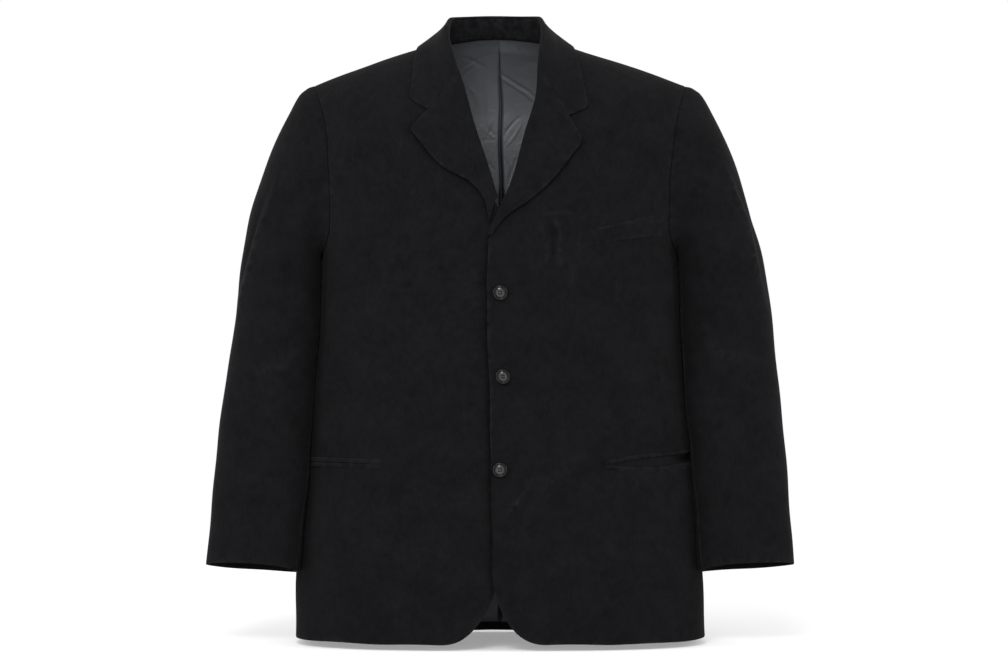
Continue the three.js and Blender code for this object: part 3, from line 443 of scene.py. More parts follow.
BACK_CREASES = (
    (-24, -60, -90, -88, -170, -86, 11, 1.2),
    (20, -96, 96, -112, 190, -104, 13, -1.1),
    (-206, -230, -150, -262, -100, -330, 10, 1.4),
    (206, -214, 160, -262, 120, -344, 11, 1.3),
    (-214, -300, -176, -340, -150, -420, 9, -1.2),
    (214, -286, 180, -330, 148, -400, 10, -1.1),
    (-20, -410, -96, -436, -190, -430, 9, 1.2),
    (12, -452, 88, -440, 200, -462, 10, 1.1),
    (-40, -486, -120, -492, -204, -520, 12, -1.1),
    (60, -520, 90, -610, 84, -720, 18, 1.4),
    (-70, -560, -104, -640, -110, -742, 20, 1.4),
    (150, -600, 164, -680, 160, -760, 16, -1.1),
    (-170, -620, -176, -690, -186, -768, 15, 1),
)
SLEEVE_CREASES = (
    (-286, -176, -301, -217, -322, -276, -336, -327, -346, -380, 3.4, 1.7),
    (-306, -215, -328, -276, -342, -330, 4, -1.3),
    (288, -160, 303, -192, 321, -234, 333, -292, 348, -358, 3.4, 1.7),
    (307, -182, 328, -232, 340, -292, 4, -1.3),
    (-252, -372, -276, -392, -306, -396, 7, -1.6),
    (-254, -400, -280, -424, -320, -430, 7, 1.3),
    (-262, -452, -290, -470, -322, -466, 9, -1),
    (252, -352, 280, -376, 312, -384, 7, -1.6),
    (254, -386, 284, -410, 326, -412, 7, 1.3),
    (262, -440, 292, -460, 330, -462, 9, -1),
    (-262, -250, -274, -296, -270, -344, 9, -1.1),
    (262, -244, 276, -290, 272, -336, 9, -1.1),
    (-300, -560, -330, -590, -352, -640, 12, 0.9),
    (304, -548, 334, -590, 352, -650, 12, -0.9),
)
LINING_CREASES = (
    (-59, -23, -30, -10, -7, -2, 1.2, 0.6),
    (-53, -33, -36, -20, -19, -11, 1.1, 0.5),
    (-7, -94, -12, -106, -18, -116, 1.1, 0.7),
    (1, -116, 14, -100, 31, -82, 1.2, 0.7),
    (-27, -119, -14, -118, -3, -119, 1.0, 0.5),
    (4, -140, 12, -152, 16, -168, 1.2, 0.6),
    (30, -20, 44, -12, 58, -8, 1.2, 0.5),
    (-3, -26, 12, -36, 36, -52, 52, -66, 1.5, -1.6),
    (2, -24, 20, -36, 42, -50, 58, -66, 1.5, 1.5),
    (-52, 4, -44, 10, -30, 14, 1.5, 1),
    (-50, -4, -36, -8, -14, -20, 2, 1),
    (20, -92, 12, -104, 2, -122, 1.5, 0.7),
    (30, -96, 20, -114, 8, -130, 1.8, -0.7),
    (-19, -14, -19, -60, -18, -100, 1.8, 0.8),
    (-18, -100, -10, -108, -4, -114, 1.6, 0.7),
    (-28, -142, -16, -150, -6, -162, 1.7, 0.7),
    (8, 14, 0, 8, -4, 4, 1.6, 1),
    (16, 12, 26, 8, 34, 0, 1.6, 1),
    (-44, -40, -34, -52, -30, -70, 2.6, -1),
    (26, -140, 18, -156, 10, -180, 2.6, 1.1),
    (-150, -140, -90, -180, -30, -190, 9, 1.6),
    (160, -150, 100, -200, 30, -230, 9, 1.6),
    (-190, -420, -120, -440, -30, -410, 8, 1.8),
    (190, -440, 110, -460, 40, -430, 8, 1.8),
    (-100, -560, -110, -640, -90, -730, 14, 1.6),
    (110, -580, 96, -650, 110, -720, 14, -1.6),
)


def crease_height(creases, p, narrow=False):
    """Sum of soft ridges and troughs at points, each fading out at both ends, or of the narrow ones mostly."""
    total = np.zeros(p.shape[:-1])
    q = p[..., [0, 2]]
    for *bends, width, height in creases:
        path = np.array(bends, float).reshape(-1, 2)
        step = np.diff(path, axis=0)
        length = np.linalg.norm(step, axis=1)
        start = np.concatenate([[0], np.cumsum(length)])
        nearest, place = np.full(total.shape, 1e9), np.zeros(total.shape)
        for a, d, run, so_far in zip(path, step, length, start):
            t = np.clip(((q - a) @ d) / run**2, 0, 1)
            distance = np.linalg.norm(q - a - t[..., None] * d, axis=-1)
            place = np.where(distance < nearest, (so_far + t * run) / start[-1], place)
            nearest = np.minimum(distance, nearest)
        fade = np.sin(math.pi * (0.04 + 0.92 * place)) ** 0.8
        share = min(1, 4.5 / width) ** 1.6 if narrow else 1
        total += share * height * fade * bell(nearest, width)
    return total


def crease_wear_and_shade(creases, p):
    """Ridges are painted paler, partly as rubbed nap and partly as painted highlight, and troughs darker as painted
    shade.
    """
    line = crease_height(creases, p, True)
    return np.where(line > 0, 0.75 * line, 0.22 * line)


def flutes(x, z, phase):
    """Soft upright waves that grow towards the hem."""
    grow = smooth((-430 - z) / 330)
    return grow * (1.1 * np.sin(x / 31 + phase) + 0.8 * np.sin(x / 17.3 + 2.1 * phase + z / 160))


def swell(p, phase):
    """Slow unevenness all over a panel."""
    x, y, z = p[..., 0], p[..., 1], p[..., 2]
    a = np.sin(x / 47 + phase) * np.sin(z / 71 + 1.7 * phase)
    b = np.sin((x + z) / 29 + 3 * phase) * np.sin((z - x) / 53 + y / 40)
    return 0.55 * a + 0.3 * b


# Meshes from grids of points


def put(name, data):
    """An object of its own in the scene."""
    made = bpy.data.objects.new(name, data)
    bpy.context.scene.collection.objects.link(made)
    return made


def build_mesh(name, points, quads, uvs, wear, material):
    """A closed mesh in metres, faces pointing out, with its flat coordinates, how worn it is and where shade is
    painted on it.
    """
    a, b, c, d = (points[quads[:, k]] for k in range(4))
    if (a * np.cross(b, c)).sum() + (a * np.cross(c, d)).sum() < 0:
        quads = quads[:, ::-1]
    mesh = bpy.data.meshes.new(name)
    mesh.from_pydata((points * MM).tolist(), [], quads.tolist())
    layer = mesh.uv_layers.new(name="flat")
    layer.data.foreach_set("uv", (uvs * MM)[quads.ravel()].astype(np.float32).ravel())
    attribute = mesh.attributes.new("wear", "FLOAT", "POINT")
    attribute.data.foreach_set("value", wear.astype(np.float32))
    mesh.polygons.foreach_set("use_smooth", np.ones(len(quads), bool))
    mesh.materials.append(material)
    mesh.validate()
    return put(name, mesh)


def run_lengths(grid, axis):
    """How far along the cloth each point of a grid is from the grid's first row or column."""
    steps = np.linalg.norm(np.diff(grid, axis=axis), axis=-1)
    pad = [(1, 0) if k == axis else (0, 0) for k in range(2)]
    return np.pad(np.cumsum(steps, axis=axis), pad)


def border_distance(grid):
    """Distance along the cloth from each point of a grid to the nearest edge of it."""
    across, along = run_lengths(grid, 1), run_lengths(grid, 0)
    sides = (across, across[:, -1:] - across, along, along[-1:] - along)
    return np.minimum.reduce(sides)


def cells(g):
    """Four-sided faces between the neighbouring points of a grid."""
    return np.stack([g[:-1, :-1], g[:-1, 1:], g[1:, 1:], g[1:, :-1]], -1).reshape(-1, 4)


def shell(name, middle, normal, wall, material, side=1, soft=1.4, wear_reach=3.0, rubbed_and_shaded=0):
    """Cloth of a given wall about a grid of points, with its edges rounded over."""
    distance = border_distance(middle)
    edge = 0.22 + 0.78 * np.sqrt(1 - (1 - np.clip(distance / soft, 0, 1)) ** 2)
    reach = normal * column(edge * wall / 2)
    layers = np.stack([middle + reach, middle - reach])
    layers[..., 0] *= side
    points = settle(layers).reshape(-1, 3)
    rows, columns = middle.shape[:2]
    index = np.arange(rows * columns).reshape(rows, columns)
    far = index + rows * columns

    def rim(near, other):
        return np.stack([near[:-1], other[:-1], other[1:], near[1:]], -1)

    sides = [rim(index[0], far[0]), rim(index[-1], far[-1])[:, ::-1]]
    ends = [rim(index[:, 0], far[:, 0])[:, ::-1], rim(index[:, -1], far[:, -1])]
    quads = np.concatenate([cells(index), cells(far)[:, ::-1], *sides, *ends])
    uv = np.stack([run_lengths(middle, 1), run_lengths(middle, 0)], -1).reshape(-1, 2)
    # Edges are rubbed paler; the added values carry crease wear and painted shade, which lies below zero
    worn = (np.exp(-distance / wear_reach) + rubbed_and_shaded).reshape(-1)
    return build_mesh(name, points, quads, np.tile(uv, (2, 1)), np.tile(worn, 2), material)


def grid_normals(grid):
    """Normals of a grid from its own points."""
    return unit(np.cross(np.gradient(grid, axis=1), np.gradient(grid, axis=0)))


def surface_normals(surface, u, v, sign):
    """Normals of a surface at shares across and along it."""
    e = 1e-3
    across = surface(u + e, v) - surface(u - e, v)
    along = surface(u, v + e) - surface(u, v - e)
    return unit(np.cross(across, along)) * sign


def spread(stops, count, edge=0.004):
    """Shares along a panel, closer together at both of its edges and at any stops."""
    close = np.array([0, 0.15, 0.35, 0.65, 1]) * edge
    extra = [np.concatenate([s - close, s + close]) for s in (0, 1, *stops)]
    every = np.concatenate([np.linspace(0, 1, count), *extra])
    return np.unique(np.round(every[(every >= 0) & (every <= 1)], 6))


def dress(piece):
    """Puts a finished piece on the frame, in place of the solid that it is named after."""
    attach(piece, "root")
    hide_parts(piece.name.rsplit("_", 1)[0])


# The pieces


def pocket_dip(key, p):
    """How far the cloth sinks in the mouth of a hip pocket."""
    pocket = HIP_POCKETS[key]
    x, z = np.abs(p[..., 0]), p[..., 2]
    low, high = pocket["reach"]
    t = np.clip((x - low) / (high - low), 0, 1)
    top, foot = pocket["levels"]["lip"](t) + 1.5, pocket["levels"]["mouth"](t) - 1.5
    inside = smooth((top - z) / 2) * smooth((z - foot) / 2)
    deep = MOUTH_DEPTH + MOUTH_GAPE * smooth((x - 218) / 20)
    return -deep * inside * smooth((x - low) / 14) * smooth((high + 4 - x) / 6)


def shaded(key, p):
    """Painted shade on a front: under the lapel's edge, beside the left front's lapped edge and where the side turns
    under the sleeve.
    """
    x, z = p[..., 0], p[..., 2]
    t = np.linspace(0, 1, 41)
    edge = np.stack([LAPELS[key]["x"](t), LAPELS[key]["z"](t)], -1)
    away = np.linalg.norm(p[..., None, [0, 2]] - edge, axis=-1).min(-1)
    # Painted shadow under the lapel's edge
    dark = (0.62 if key == "right" else 0.45) * bell(away, 3.6)
    if key == "right":
        # Painted shadow beside the left front's edge where it laps over the right one
        dark += 0.62 * bell(x - FRONTS["left"]["lap"](z) + 0.5, 4.2) * smooth((-250 - z) / 12)
    inward = (BODY["half"](z) - x).clip(0)
    # Painted shade where the front turns under the sleeve
    under = smooth((-205 - z) / 40) * (0.6 * bell(inward, 6) + 0.35 * bell(inward, 16))
    return dark + under


def front_panel(key, material):
    """A front with its relief, which dies away towards its seams."""
    front = FRONTS[key]
    side = front["side"]
    us, vs = spread((), 110), np.concatenate([spread((), 96), 1 + spread((), 90)[1:]])
    u, v = np.meshgrid(us, vs)

    def surface(a, b):
        return front_surface(front, a, b)

    p = surface(u, v)
    n = surface_normals(surface, u, v, 1)
    n[np.abs(p[..., 1]) < 1, 1] = 0
    n = unit(n)
    p[..., 1] = np.where(p[..., 1] > -GAP, SEAM_LAP, p[..., 1])
    world = p * (side, 1, 1)
    creases = PANEL_CREASE * crease_height(FRONT_CREASES, world)
    relief = creases + flutes(world[..., 0], p[..., 2], 1.3) + swell(world, 0.4)
    if side > 0:
        relief += -0.8 * bell(world[..., 0] - 24, 20) * smooth((-620 - p[..., 2]) / 80)
    calm = smooth(border_distance(p) / 26)
    lift = lap_lift(side, p[..., 0], p[..., 2]) + relief * calm + pocket_dip(key, p)
    if side > 0:
        lift += EDGE_LIFT * bell(run_lengths(p, 1), 7) * smooth((-250 - p[..., 2]) / 30)
    middle = p + n * column(lift - WALL / 2)
    # The creases' wear and painted shade, less the painted shade by the lapel, the lap and the sleeve
    rubbed_and_shaded = crease_wear_and_shade(FRONT_CREASES, world) - shaded(key, p)
    return shell(f"front_{key}_cloth", middle, n, WALL, material, side, rubbed_and_shaded=rubbed_and_shaded)


def back_panel(key, side, material):
    """A half of the back, from the centre seam to the side seam."""
    us, vs = spread((), 90), np.concatenate([spread((), 84), 1 + spread((), 76)[1:]])
    u, v = np.meshgrid(us, vs)
    p = back_surface(u, v)
    n = surface_normals(back_surface, u, v, -1)
    n[np.abs(p[..., 1]) < 1, 1] = 0
    n[p[..., 0] < 1, 0] = 0
    n = unit(n)
    p[..., 1] = np.where(p[..., 1] < GAP, -SEAM_LAP, p[..., 1])
    p[..., 0] = np.where(p[..., 0] < GAP, -SEAM_LAP, p[..., 0])
    world = p * (side, 1, 1)
    creases = PANEL_CREASE * crease_height(BACK_CREASES, world)
    relief = creases + flutes(world[..., 0], p[..., 2], 2.2) + swell(world, 1.9)
    middle = hang(p + n * column(relief * smooth(border_distance(p) / 26) - WALL / 2))
    return shell(f"back_{key}_cloth", middle, n, WALL, material, side, rubbed_and_shaded=crease_wear_and_shade(BACK_CREASES, world))


def back_lining(material):
    """The lining inside the back, with a pleat beside its middle, and painted shade along the pleat's edge, at the
    foot of the opening, towards the hem and under the collar's seam.
    """
    bottom = 12 / (ARMPIT - HEM)
    half = np.concatenate([np.linspace(0.0005, 0.2, 62), np.linspace(0.2, 0.965, 40)[1:]])
    us = np.concatenate([-half[::-1], half])
    vs = np.concatenate([np.linspace(bottom, 1, 60), np.linspace(1, 1.3, 24)[1:], np.linspace(1.3, 2, 118)[1:]])
    hand = np.where(us < 0, -1, 1)
    u, v = np.meshgrid(us, vs)
    p = back_surface(np.abs(u), v)
    n = surface_normals(back_surface, np.abs(u), np.minimum(v, 1.998), -1) * point(hand, 1, 1)
    p[..., 0] *= hand
    x, z = p[..., 0], p[..., 2]
    from_seam = x - lerp(4.6, 0.8, np.clip((10 - z) / 100, 0, 1)) * smooth((z + 420) / 200)
    pleat = PLEAT_DEPTH * smooth(from_seam / 2.2 + 0.5) * (1 - smooth(from_seam / 60))
    groove = GROOVE_DEPTH * bell(from_seam - 0.6, 2.0) * smooth((4 - z) / 60)
    relief = crease_height(LINING_CREASES, p) + 0.5 * swell(p, 5.1)
    tuck = smooth((2 - v) / 0.05)
    # Painted shadow: a dark line along the pleat's edge, wider towards its foot
    line_width = lerp(1.1, 3.0, smooth((-20 - z) / 170))
    line = bell(from_seam - 0.6, line_width) * smooth((14 - z) / 18)
    # Painted shade at the foot of the opening between the lapels, and darker towards the hem
    low = (smooth((-178 - z) / 16) + 0.8 * smooth((-192 - z) / 8)) * (1 - smooth((-330 - z) / 60))
    low += 0.5 * smooth((-520 - z) / 120)
    # All the painted shade, also a little darker downwards and a dark line along the top edge under the collar's seam
    shade = 0.95 * line + 0.8 * low + 0.16 * smooth((-90 - z) / 80) + 0.5 * bell(2 - v, 0.02)
    depth = WALL + 0.2 + tuck * (1.2 + 3.8 * smooth((15 - z) / 90) + pleat - groove - 0.9 * relief)
    # The top edge is sewn in under the seam of the collar
    depth -= 1.9 * (1 - smooth((2 - v) / 0.016))
    middle = hang(p - n * column(depth + LINING_WALL / 2))
    return shell("lining_back_satin", middle, n, LINING_WALL, material, rubbed_and_shaded=shade)


def armhole_edge(back, w):
    """The armhole on the front or back: point, outward normal, and direction away from the panel."""

    def surface(a, b):
        a = np.broadcast_to(a, np.shape(b))
        return back_surface(a, b) if back else front_surface(FRONTS["left"], a, b)

    e = 1e-3
    v = np.minimum(1 + w, 2 - 2 * e)
    p = surface(1.0, 1 + w)
    across = surface(1.0, v) - surface(1 - 5 * e, v)
    along = surface(1.0, v + e) - surface(1.0, v - e)
    n = np.cross(across, along) * (-1 if back else 1)
    along = unit(along)
    away = across - along * dot(across, along)
    flat = (w < e) | (w > 1 - e)
    for part in (n, away, p):
        part[flat, 1] = 0
    return p, unit(n), unit(away)


def sleeve_ring(side, row, turn):
    """Points round a sleeve's section at a row of its table."""
    get = {name: at(row) for name, at in SLEEVE.items()}
    out = point(get["out_x"] + (get["elbow"] if side > 0 else 0), 0, get["out_z"])
    inside = point(get["in_x"], 0, get["in_z"])
    c, s = np.cos(np.radians(turn)), np.sin(np.radians(turn))
    c, s = (np.sign(k) * np.abs(k) ** (2 / SLEEVE_CORNER) for k in (c, s))
    pitch = 0.13 * smooth((row - 5) / 7) * get["half"] * s
    ring = (out + inside) / 2 + (out - inside) / 2 * column(c)
    return ring + point(0 * s, get["mid_y"] - get["half"] * s, pitch)


def sleeve_pieces(key, side, material):
    """Both pieces of a sleeve, cut from one closed grid so that they share its form."""
    hem_rows = (12.93, 12.96, 12.98, 12.99, 13)
    rows = np.unique(np.concatenate([np.linspace(0, 3, 46), np.linspace(3, 12.9, 92), hem_rows]))
    under = np.linspace(FRONT_SEAM_TURN, HIND_SEAM_TURN, 52)
    over = np.linspace(HIND_SEAM_TURN - 360, FRONT_SEAM_TURN, 104)
    turns = np.concatenate([over, under[1:-1]]) % 360
    on_back = turns > 180
    w = ((1 + np.cos(np.radians(turns))) / 2) ** (1 / EASE)
    front, back = armhole_edge(False, w), armhole_edge(True, w)
    edge, outward, away = (np.where(column(on_back), b, f) for f, b in zip(front, back))
    ring = sleeve_ring(side, *np.meshgrid(rows, turns, indexing="ij"))
    seam = edge - away * SEAM_LAP
    fade = column(1 - smooth(rows / CAP_ROWS))
    grid = ring + column(fade) * (seam - sleeve_ring(side, 0 * turns, turns))
    across = np.roll(grid, -1, 1) - np.roll(grid, 1, 1)
    inward = unit(np.cross(np.gradient(grid, axis=0), across))
    inward[0] = -outward
    for k in (1, 2, 3):
        inward[k] = unit(lerp(-outward, inward[k], k / 4))
    world = grid * (side, 1, 1)
    facing = np.where(grid[..., 1] < column(SLEEVE["mid_y"](rows)), 1, 0.55)
    creases = SLEEVE_CREASE * crease_height(SLEEVE_CREASES, world) * facing
    height = creases + 0.8 * swell(world, 3.3 + side)
    # The seam allowance lifts the head of the sleeve just outside the armhole
    rope = 1.2 * bell(column(rows) - 0.42, 0.34) * smooth((grid[..., 2] + 190) / 90)
    elbow = column(smooth((rows - 5) / 2) * (1 - smooth((rows - 9) / 2)))
    hind = -1.0 * bell(turns - 300, 26) * elbow
    down = column(smooth(rows / 0.7) * (1 - smooth((rows - 12.2) / 0.7)))
    grid = grid - inward * column(height * down + rope + hind)
    # The front of the cuff's edge arches up and shows a little of its inside
    arch = np.sin(np.radians(turns)).clip(0) ** 1.5 * column(smooth((rows - 11.4) / 1.6))
    grid[..., 2] += CUFF_ARCH * arch
    sunk = (side_of_body(grid[..., 1], grid[..., 2]) + SLEEVE_REST * smooth(column(rows)) - grid[..., 0]).clip(0)
    grid[..., 0] += sunk * smooth((-262 - grid[..., 2]) / 22)
    made = []
    parts = {"top": np.arange(len(over)), "under": np.arange(len(over) - 1, len(turns) + 1) % len(turns)}
    for part, picked in parts.items():
        piece, n = grid[:, picked].copy(), inward[:, picked]
        piece[:, 0] -= unit(piece[:, 1] - piece[:, 0]) * SEAM_LAP
        piece[:, -1] -= unit(piece[:, -2] - piece[:, -1]) * SEAM_LAP
        middle = piece + n * SLEEVE_WALL / 2
        # Painted shade on the sleeve's inner side, in the gap by the body
        inner = bell(turns[picked] - 180, 26) * smooth((-225 - piece[..., 2]) / 40)
        seam_line = 1.5 * bell(run_lengths(piece, 0), 1.5)
        rubbed_and_shaded = crease_wear_and_shade(SLEEVE_CREASES, world[:, picked]) - 0.6 * inner - seam_line
        made.append(shell(f"sleeve_{part}_{key}_cloth", middle, -n, SLEEVE_WALL, material, side, rubbed_and_shaded=rubbed_and_shaded))
    return made


def fold_over(heel, into, out, radius, tail, leaf):
    """Sections of cloth that start a tail's length behind a fold, turn over it and lie along a leaf."""
    behind = [heel - out * radius - into * tail * k for k in (1, 0.97, 0.9, 0.6, 0.3)]
    arcs = [heel - out * radius * math.cos(t) + into * radius * math.sin(t) for t in np.linspace(0, math.pi, 17)]
    return np.concatenate([np.stack(behind + arcs, 1), leaf], 1)


LEAF = spread((), 30, 0.02)[1:]


def roll_frame(front, z, radius):
    """Fold of a lapel at a level, with the directions into the opening and out from the body."""

    def at(level):
        return over_front(front["side"], front["roll"](level), level, 0)

    out = body_at(False, front["roll"](z), z)[1]
    into = unit(np.cross(out, at(z + 1) - at(z - 1)))
    return over_front(front["side"], front["roll"](z), z, radius - WALL / 2), into, out


def leaf_height(radius, t):
    """How high a turned-back leaf lies, from its fold to its edge."""
    return lerp(2 * radius - WALL / 2, REST, t**1.3)


def blunt(x, z, i, amount):
    """Rounds the tip at the outer end of row i of a cloth by drawing the points near it inwards."""
    near = 5 if i == 0 else i - 5
    tip = np.array([x[i, -1], z[i, -1]])
    inward = unit(unit(np.array([x[near, -1], z[near, -1]]) - tip) + unit(np.array([x[i, -6], z[i, -6]]) - tip))
    pull = amount * bell(np.hypot(x - tip[0], z - tip[1]), 1.7 * amount)
    return x + inward[0] * pull, z + inward[1] * pull


def lapel(key, material):
    """A lapel, from behind its fold to its edge and its notch."""
    front, table = FRONTS[key], LAPELS[key]
    t = spread((), 90, 0.02)
    fold_z, edge_x, edge_z = (table[name](t) for name in ("fold", "x", "z"))
    radius = lerp(LOW_RADIUS, FOLD_RADIUS, smooth(lerp(0.25, 1, t / 0.35)))
    fold, into, out = roll_frame(front, fold_z, radius)
    behind = (panel_edge(front, fold_z) - front["roll"](fold_z)) * np.abs(into[:, 0])
    nose = (radius + 3.4 * GAP - behind).clip(0)
    heel = fold + into * column(nose - radius)
    q = LEAF[None]
    x, z = lerp(heel[:, :1], column(edge_x), q), lerp(heel[:, 2:], column(edge_z), q)
    x, z = blunt(x, z, len(t) - 1, TIP_ROUND[key])
    # A soft belly between the fold and the edge keeps the lapel from lying dead flat
    belly = 1.5 * np.sin(math.pi * q) ** 2 * np.sin(math.pi * column(t).clip(0.1, 1)) ** 0.5
    lip = smooth((q - 0.66) / 0.34) * smooth(column(t) / 0.2) * (1.7 + 0.6 * np.sin(9 * column(t) + front["side"]))
    leaf = over_front(front["side"], x, z, leaf_height(column(radius), q) + belly + lip)
    tail = (behind + nose - radius - 3 * GAP).clip(0.1)
    grid = fold_over(heel, into, out, column(radius), column(tail), leaf)
    return shell(f"lapel_{key}_cloth", grid, grid_normals(grid), COLLAR_WALL, material, front["side"], 1.0, 2.2)


def on_roll(s):
    """How much the collar's fold has become the lapel's."""
    return smooth((s - 0.78) / 0.19)


def collar_place(key, s):
    """Where one side of the collar runs at shares from nape to gorge: fold, seam and edge."""
    front = FRONTS[key]
    point_x, point_z = front["point"]
    get = {name: at(s) for name, at in COLLAR.items()}
    ahead = smooth((s - SHOULDER_SHARE) / (1 - SHOULDER_SHARE))
    fold_z = get["fold_z"] + (front["gorge"] - COLLAR_LAST["fold_z"]) * ahead
    rolled = roll_frame(front, fold_z, get["radius"])[0]
    fold = lerp(point(get["fold_x"], get["fold_y"], fold_z), rolled, column(on_roll(s)))
    behind = s <= SHOULDER_SHARE
    seam_z = front["gorge"] * get["seam_share"] ** 2
    seam_x = np.where(behind, get["seam_x"], panel_edge(front, seam_z))
    neckline = ridge(seam_x) - neck_fall(seam_x, share_at_x(seam_x, 0))
    level = np.where(behind, np.minimum(neckline, ridge(seam_x) - 0.01), seam_z)
    p, n = body_at(behind, seam_x, level)
    seam = p + n * column(np.where(behind, 0, lap_lift(front["side"], seam_x, seam_z)) - WALL / 2)
    edge_x = get["edge_x"] + (point_x - COLLAR_LAST["edge_x"]) * ahead
    share = np.clip(get["drop"] / COLLAR_LAST["drop"], 0, 1)
    drop = get["drop"] + (ridge(point_x) - point_z - COLLAR_LAST["drop"]) * share
    edge_z = ridge(edge_x) - np.abs(drop)
    lie, lie_n = body_at(drop < 0, edge_x, edge_z)
    edge = lie + lie_n * column(REST + 0.6 * (1 - ahead))
    return {**get, "fold": fold, "seam": seam, "edge": edge, "edge_x": edge_x, "edge_z": edge_z, "fold_z": fold_z}


def collar_frame(key, s):
    """Heel of the collar's fold, with its directions along, into the opening and out."""
    place = collar_place(key, s)
    step = collar_place(key, np.minimum(1, s + 0.01))["fold"] - collar_place(key, np.maximum(0, s - 0.01))["fold"]
    along = unit(np.where(column(s == 0), (1.0, 0, 0), step))
    rise = place["fold"] - place["seam"]
    into = unit(rise - along * dot(rise, along))
    rolled = roll_frame(FRONTS[key], place["fold_z"], place["radius"])[1]
    into = lerp(into, rolled, column(on_roll(s)))
    into = unit(into - along * dot(into, along))
    heel = place["fold"] - into * column(place["radius"])
    height = dot(rise, into)[:, 0]
    return {**place, "along": along, "into": into, "out": unit(np.cross(into, along)), "height": height, "heel": heel}


def fall_tail(frame, s):
    """How far the fall reaches down behind its fold, which grows where the stand has ended."""
    reach = frame["height"] - frame["radius"] - 7 * GAP
    return lerp(2 * GAP, reach.clip(GAP), smooth((s - 0.86) / 0.08))


def clear_of_body(side, p, height):
    """Moves points out from the body until they stand at least a height off it."""
    back = p[..., 1] >= 0
    down = 140 * np.linspace(0, 1, 61) ** 2
    x = np.broadcast_to(p[..., :1], p.shape[:-1] + (61,))
    z = column(ridge(p[..., 0])) - 0.01 - down
    every = body_point(back[..., None], share_at_x(x, z), x, z)
    nearest = np.linalg.norm(every - p[..., None, :], axis=-1).argmin(-1)[..., None]
    q, n = body_at(back, p[..., 0], np.take_along_axis(z, nearest, -1)[..., 0])
    wanted = height + np.where(back, 0, lap_lift(side, p[..., 0], p[..., 2]))
    return p + n * (column(wanted) - dot(p - q, n)).clip(0)


def collar_fall_sections(key, s):
    """Sections of one side's fall, turned over the fold and lying to its edge and notch."""
    frame, front = collar_frame(key, s), FRONTS[key]
    side = front["side"]
    tip_x, tip_z = (float(LAPELS[key][name](1)) for name in ("x", "z"))
    heel, edge, q = frame["heel"], frame["edge"], LEAF[None]
    notch = lerp(heel[:, 0], tip_x, NOTCH_SHARE), lerp(heel[:, 2], tip_z, NOTCH_SHARE)
    flat, cut = smooth((s - 0.68) / 0.24), np.clip((s - 0.72) / 0.28, 0, 1) ** 2
    start = heel + frame["out"] * column(frame["radius"])
    control = start - frame["into"] * 0.42 * np.linalg.norm(start - edge, axis=-1, keepdims=True)
    t = q[..., None]
    free = start[:, None] * (1 - t) ** 2 + control[:, None] * 2 * t * (1 - t) + edge[:, None] * t**2

    def bent(a, b, c):
        inner = lerp(column(a), column(b), q / NOTCH_SHARE)
        outer = lerp(column(b), c, (q - NOTCH_SHARE) / (1 - NOTCH_SHARE))
        return np.where(q < NOTCH_SHARE, inner, outer)

    x = lerp(lerp(heel[:, :1], column(frame["edge_x"]), q), bent(heel[:, 0], notch[0], front["point"][0]), column(cut))
    z = lerp(lerp(heel[:, 2:], column(frame["edge_z"]), q), bent(heel[:, 2], notch[1], front["point"][1]), column(cut))
    x, z = blunt(x, z, int(s.argmax()), COLLAR_TIP_ROUND)
    lying = over_front(side, x, z, leaf_height(column(frame["radius"]), q))
    free = np.where(flat[:, None, None] > 0, lerp(free, lying, flat[:, None, None]), free)
    leaf = clear_of_body(side, free, REST + 1.4 * (1 - q) * np.ones_like(x))
    grid = fold_over(heel, frame["into"], frame["out"], column(frame["radius"]), column(fall_tail(frame, s)), leaf)
    grid = grid - frame["along"][:, None] * np.where(s == 1, 2.4 * GAP, 0)[:, None, None]
    return grid * (side, 1, 1)


def collar_stand_sections(key, s):
    """Sections of one side's stand, from the neckline up to the fall."""
    frame = collar_frame(key, s)
    down = fall_tail(frame, np.minimum(s, STAND_END)) + 0.5
    top = frame["heel"] - frame["out"] * column(frame["radius"]) - frame["into"] * column(down)
    base = frame["seam"] + frame["into"] * 0.2
    t = spread((), 14, 0.06)[None, :, None]
    return lerp(base[:, None], top[:, None], t) * (FRONTS[key]["side"], 1, 1)


def collar_piece(name, sections, shares, material, rubbed_and_shaded=0):
    """Both sides' sections joined into one cloth at the nape."""
    right = sections("right", shares[::-1])
    left = sections("left", np.concatenate([[0.0], shares]))
    grid = np.concatenate([right, left])
    return shell(name, grid, grid_normals(grid), COLLAR_WALL, material, 1, 1.0, 2.2, rubbed_and_shaded=rubbed_and_shaded)


def patch(name, side, count, place, material, rows=9, high=0.5, sink=4.0):
    """Cloth sewn on to a front, standing off it by its own thickness with soft edges."""
    t, up = np.meshgrid(spread((), count, 0.01), spread((), rows, 0.12))
    x, z = place(t, up)
    p = over_front(side, x, z, 0 * x)
    n = body_at(False, x, z)[1]
    ends = run_lengths(p, 1)
    ends = np.minimum(ends, ends[:, -1:] - ends)
    p = p + n * column(lerp(-0.3, high, smooth(ends / sink)) + 0.3 * smooth(border_distance(p) / 4))
    return shell(name, p, n, PATCH_WALL, material, side, 1.6, 2.0, rubbed_and_shaded=0.04)


def hip_pocket(key, part, high, low, material):
    """One jet of a hip pocket, between two levels of its mouth."""
    pocket = HIP_POCKETS[key]
    inner, outer = pocket["reach"]

    def place(t, up):
        z = lerp(pocket["levels"][low](t), pocket["levels"][high](t), up)
        return half_at(lerp(share_at_x(inner, z), share_at_x(outer, z), t), z), z

    return patch(f"pocket_jet_{part}_{key}_cloth", FRONTS[key]["side"], 70, place, material)


def chest_welt(material):
    """The sloping welt of the chest pocket."""

    def place(t, up):
        x = lerp(WELT["low_x"](t), WELT["high_x"](t), up)
        return x, lerp(WELT["low_z"](t), WELT["high_z"](t), up)

    return patch("chest_welt_cloth", 1, 70, place, material, 22, 0.2, 16.0)


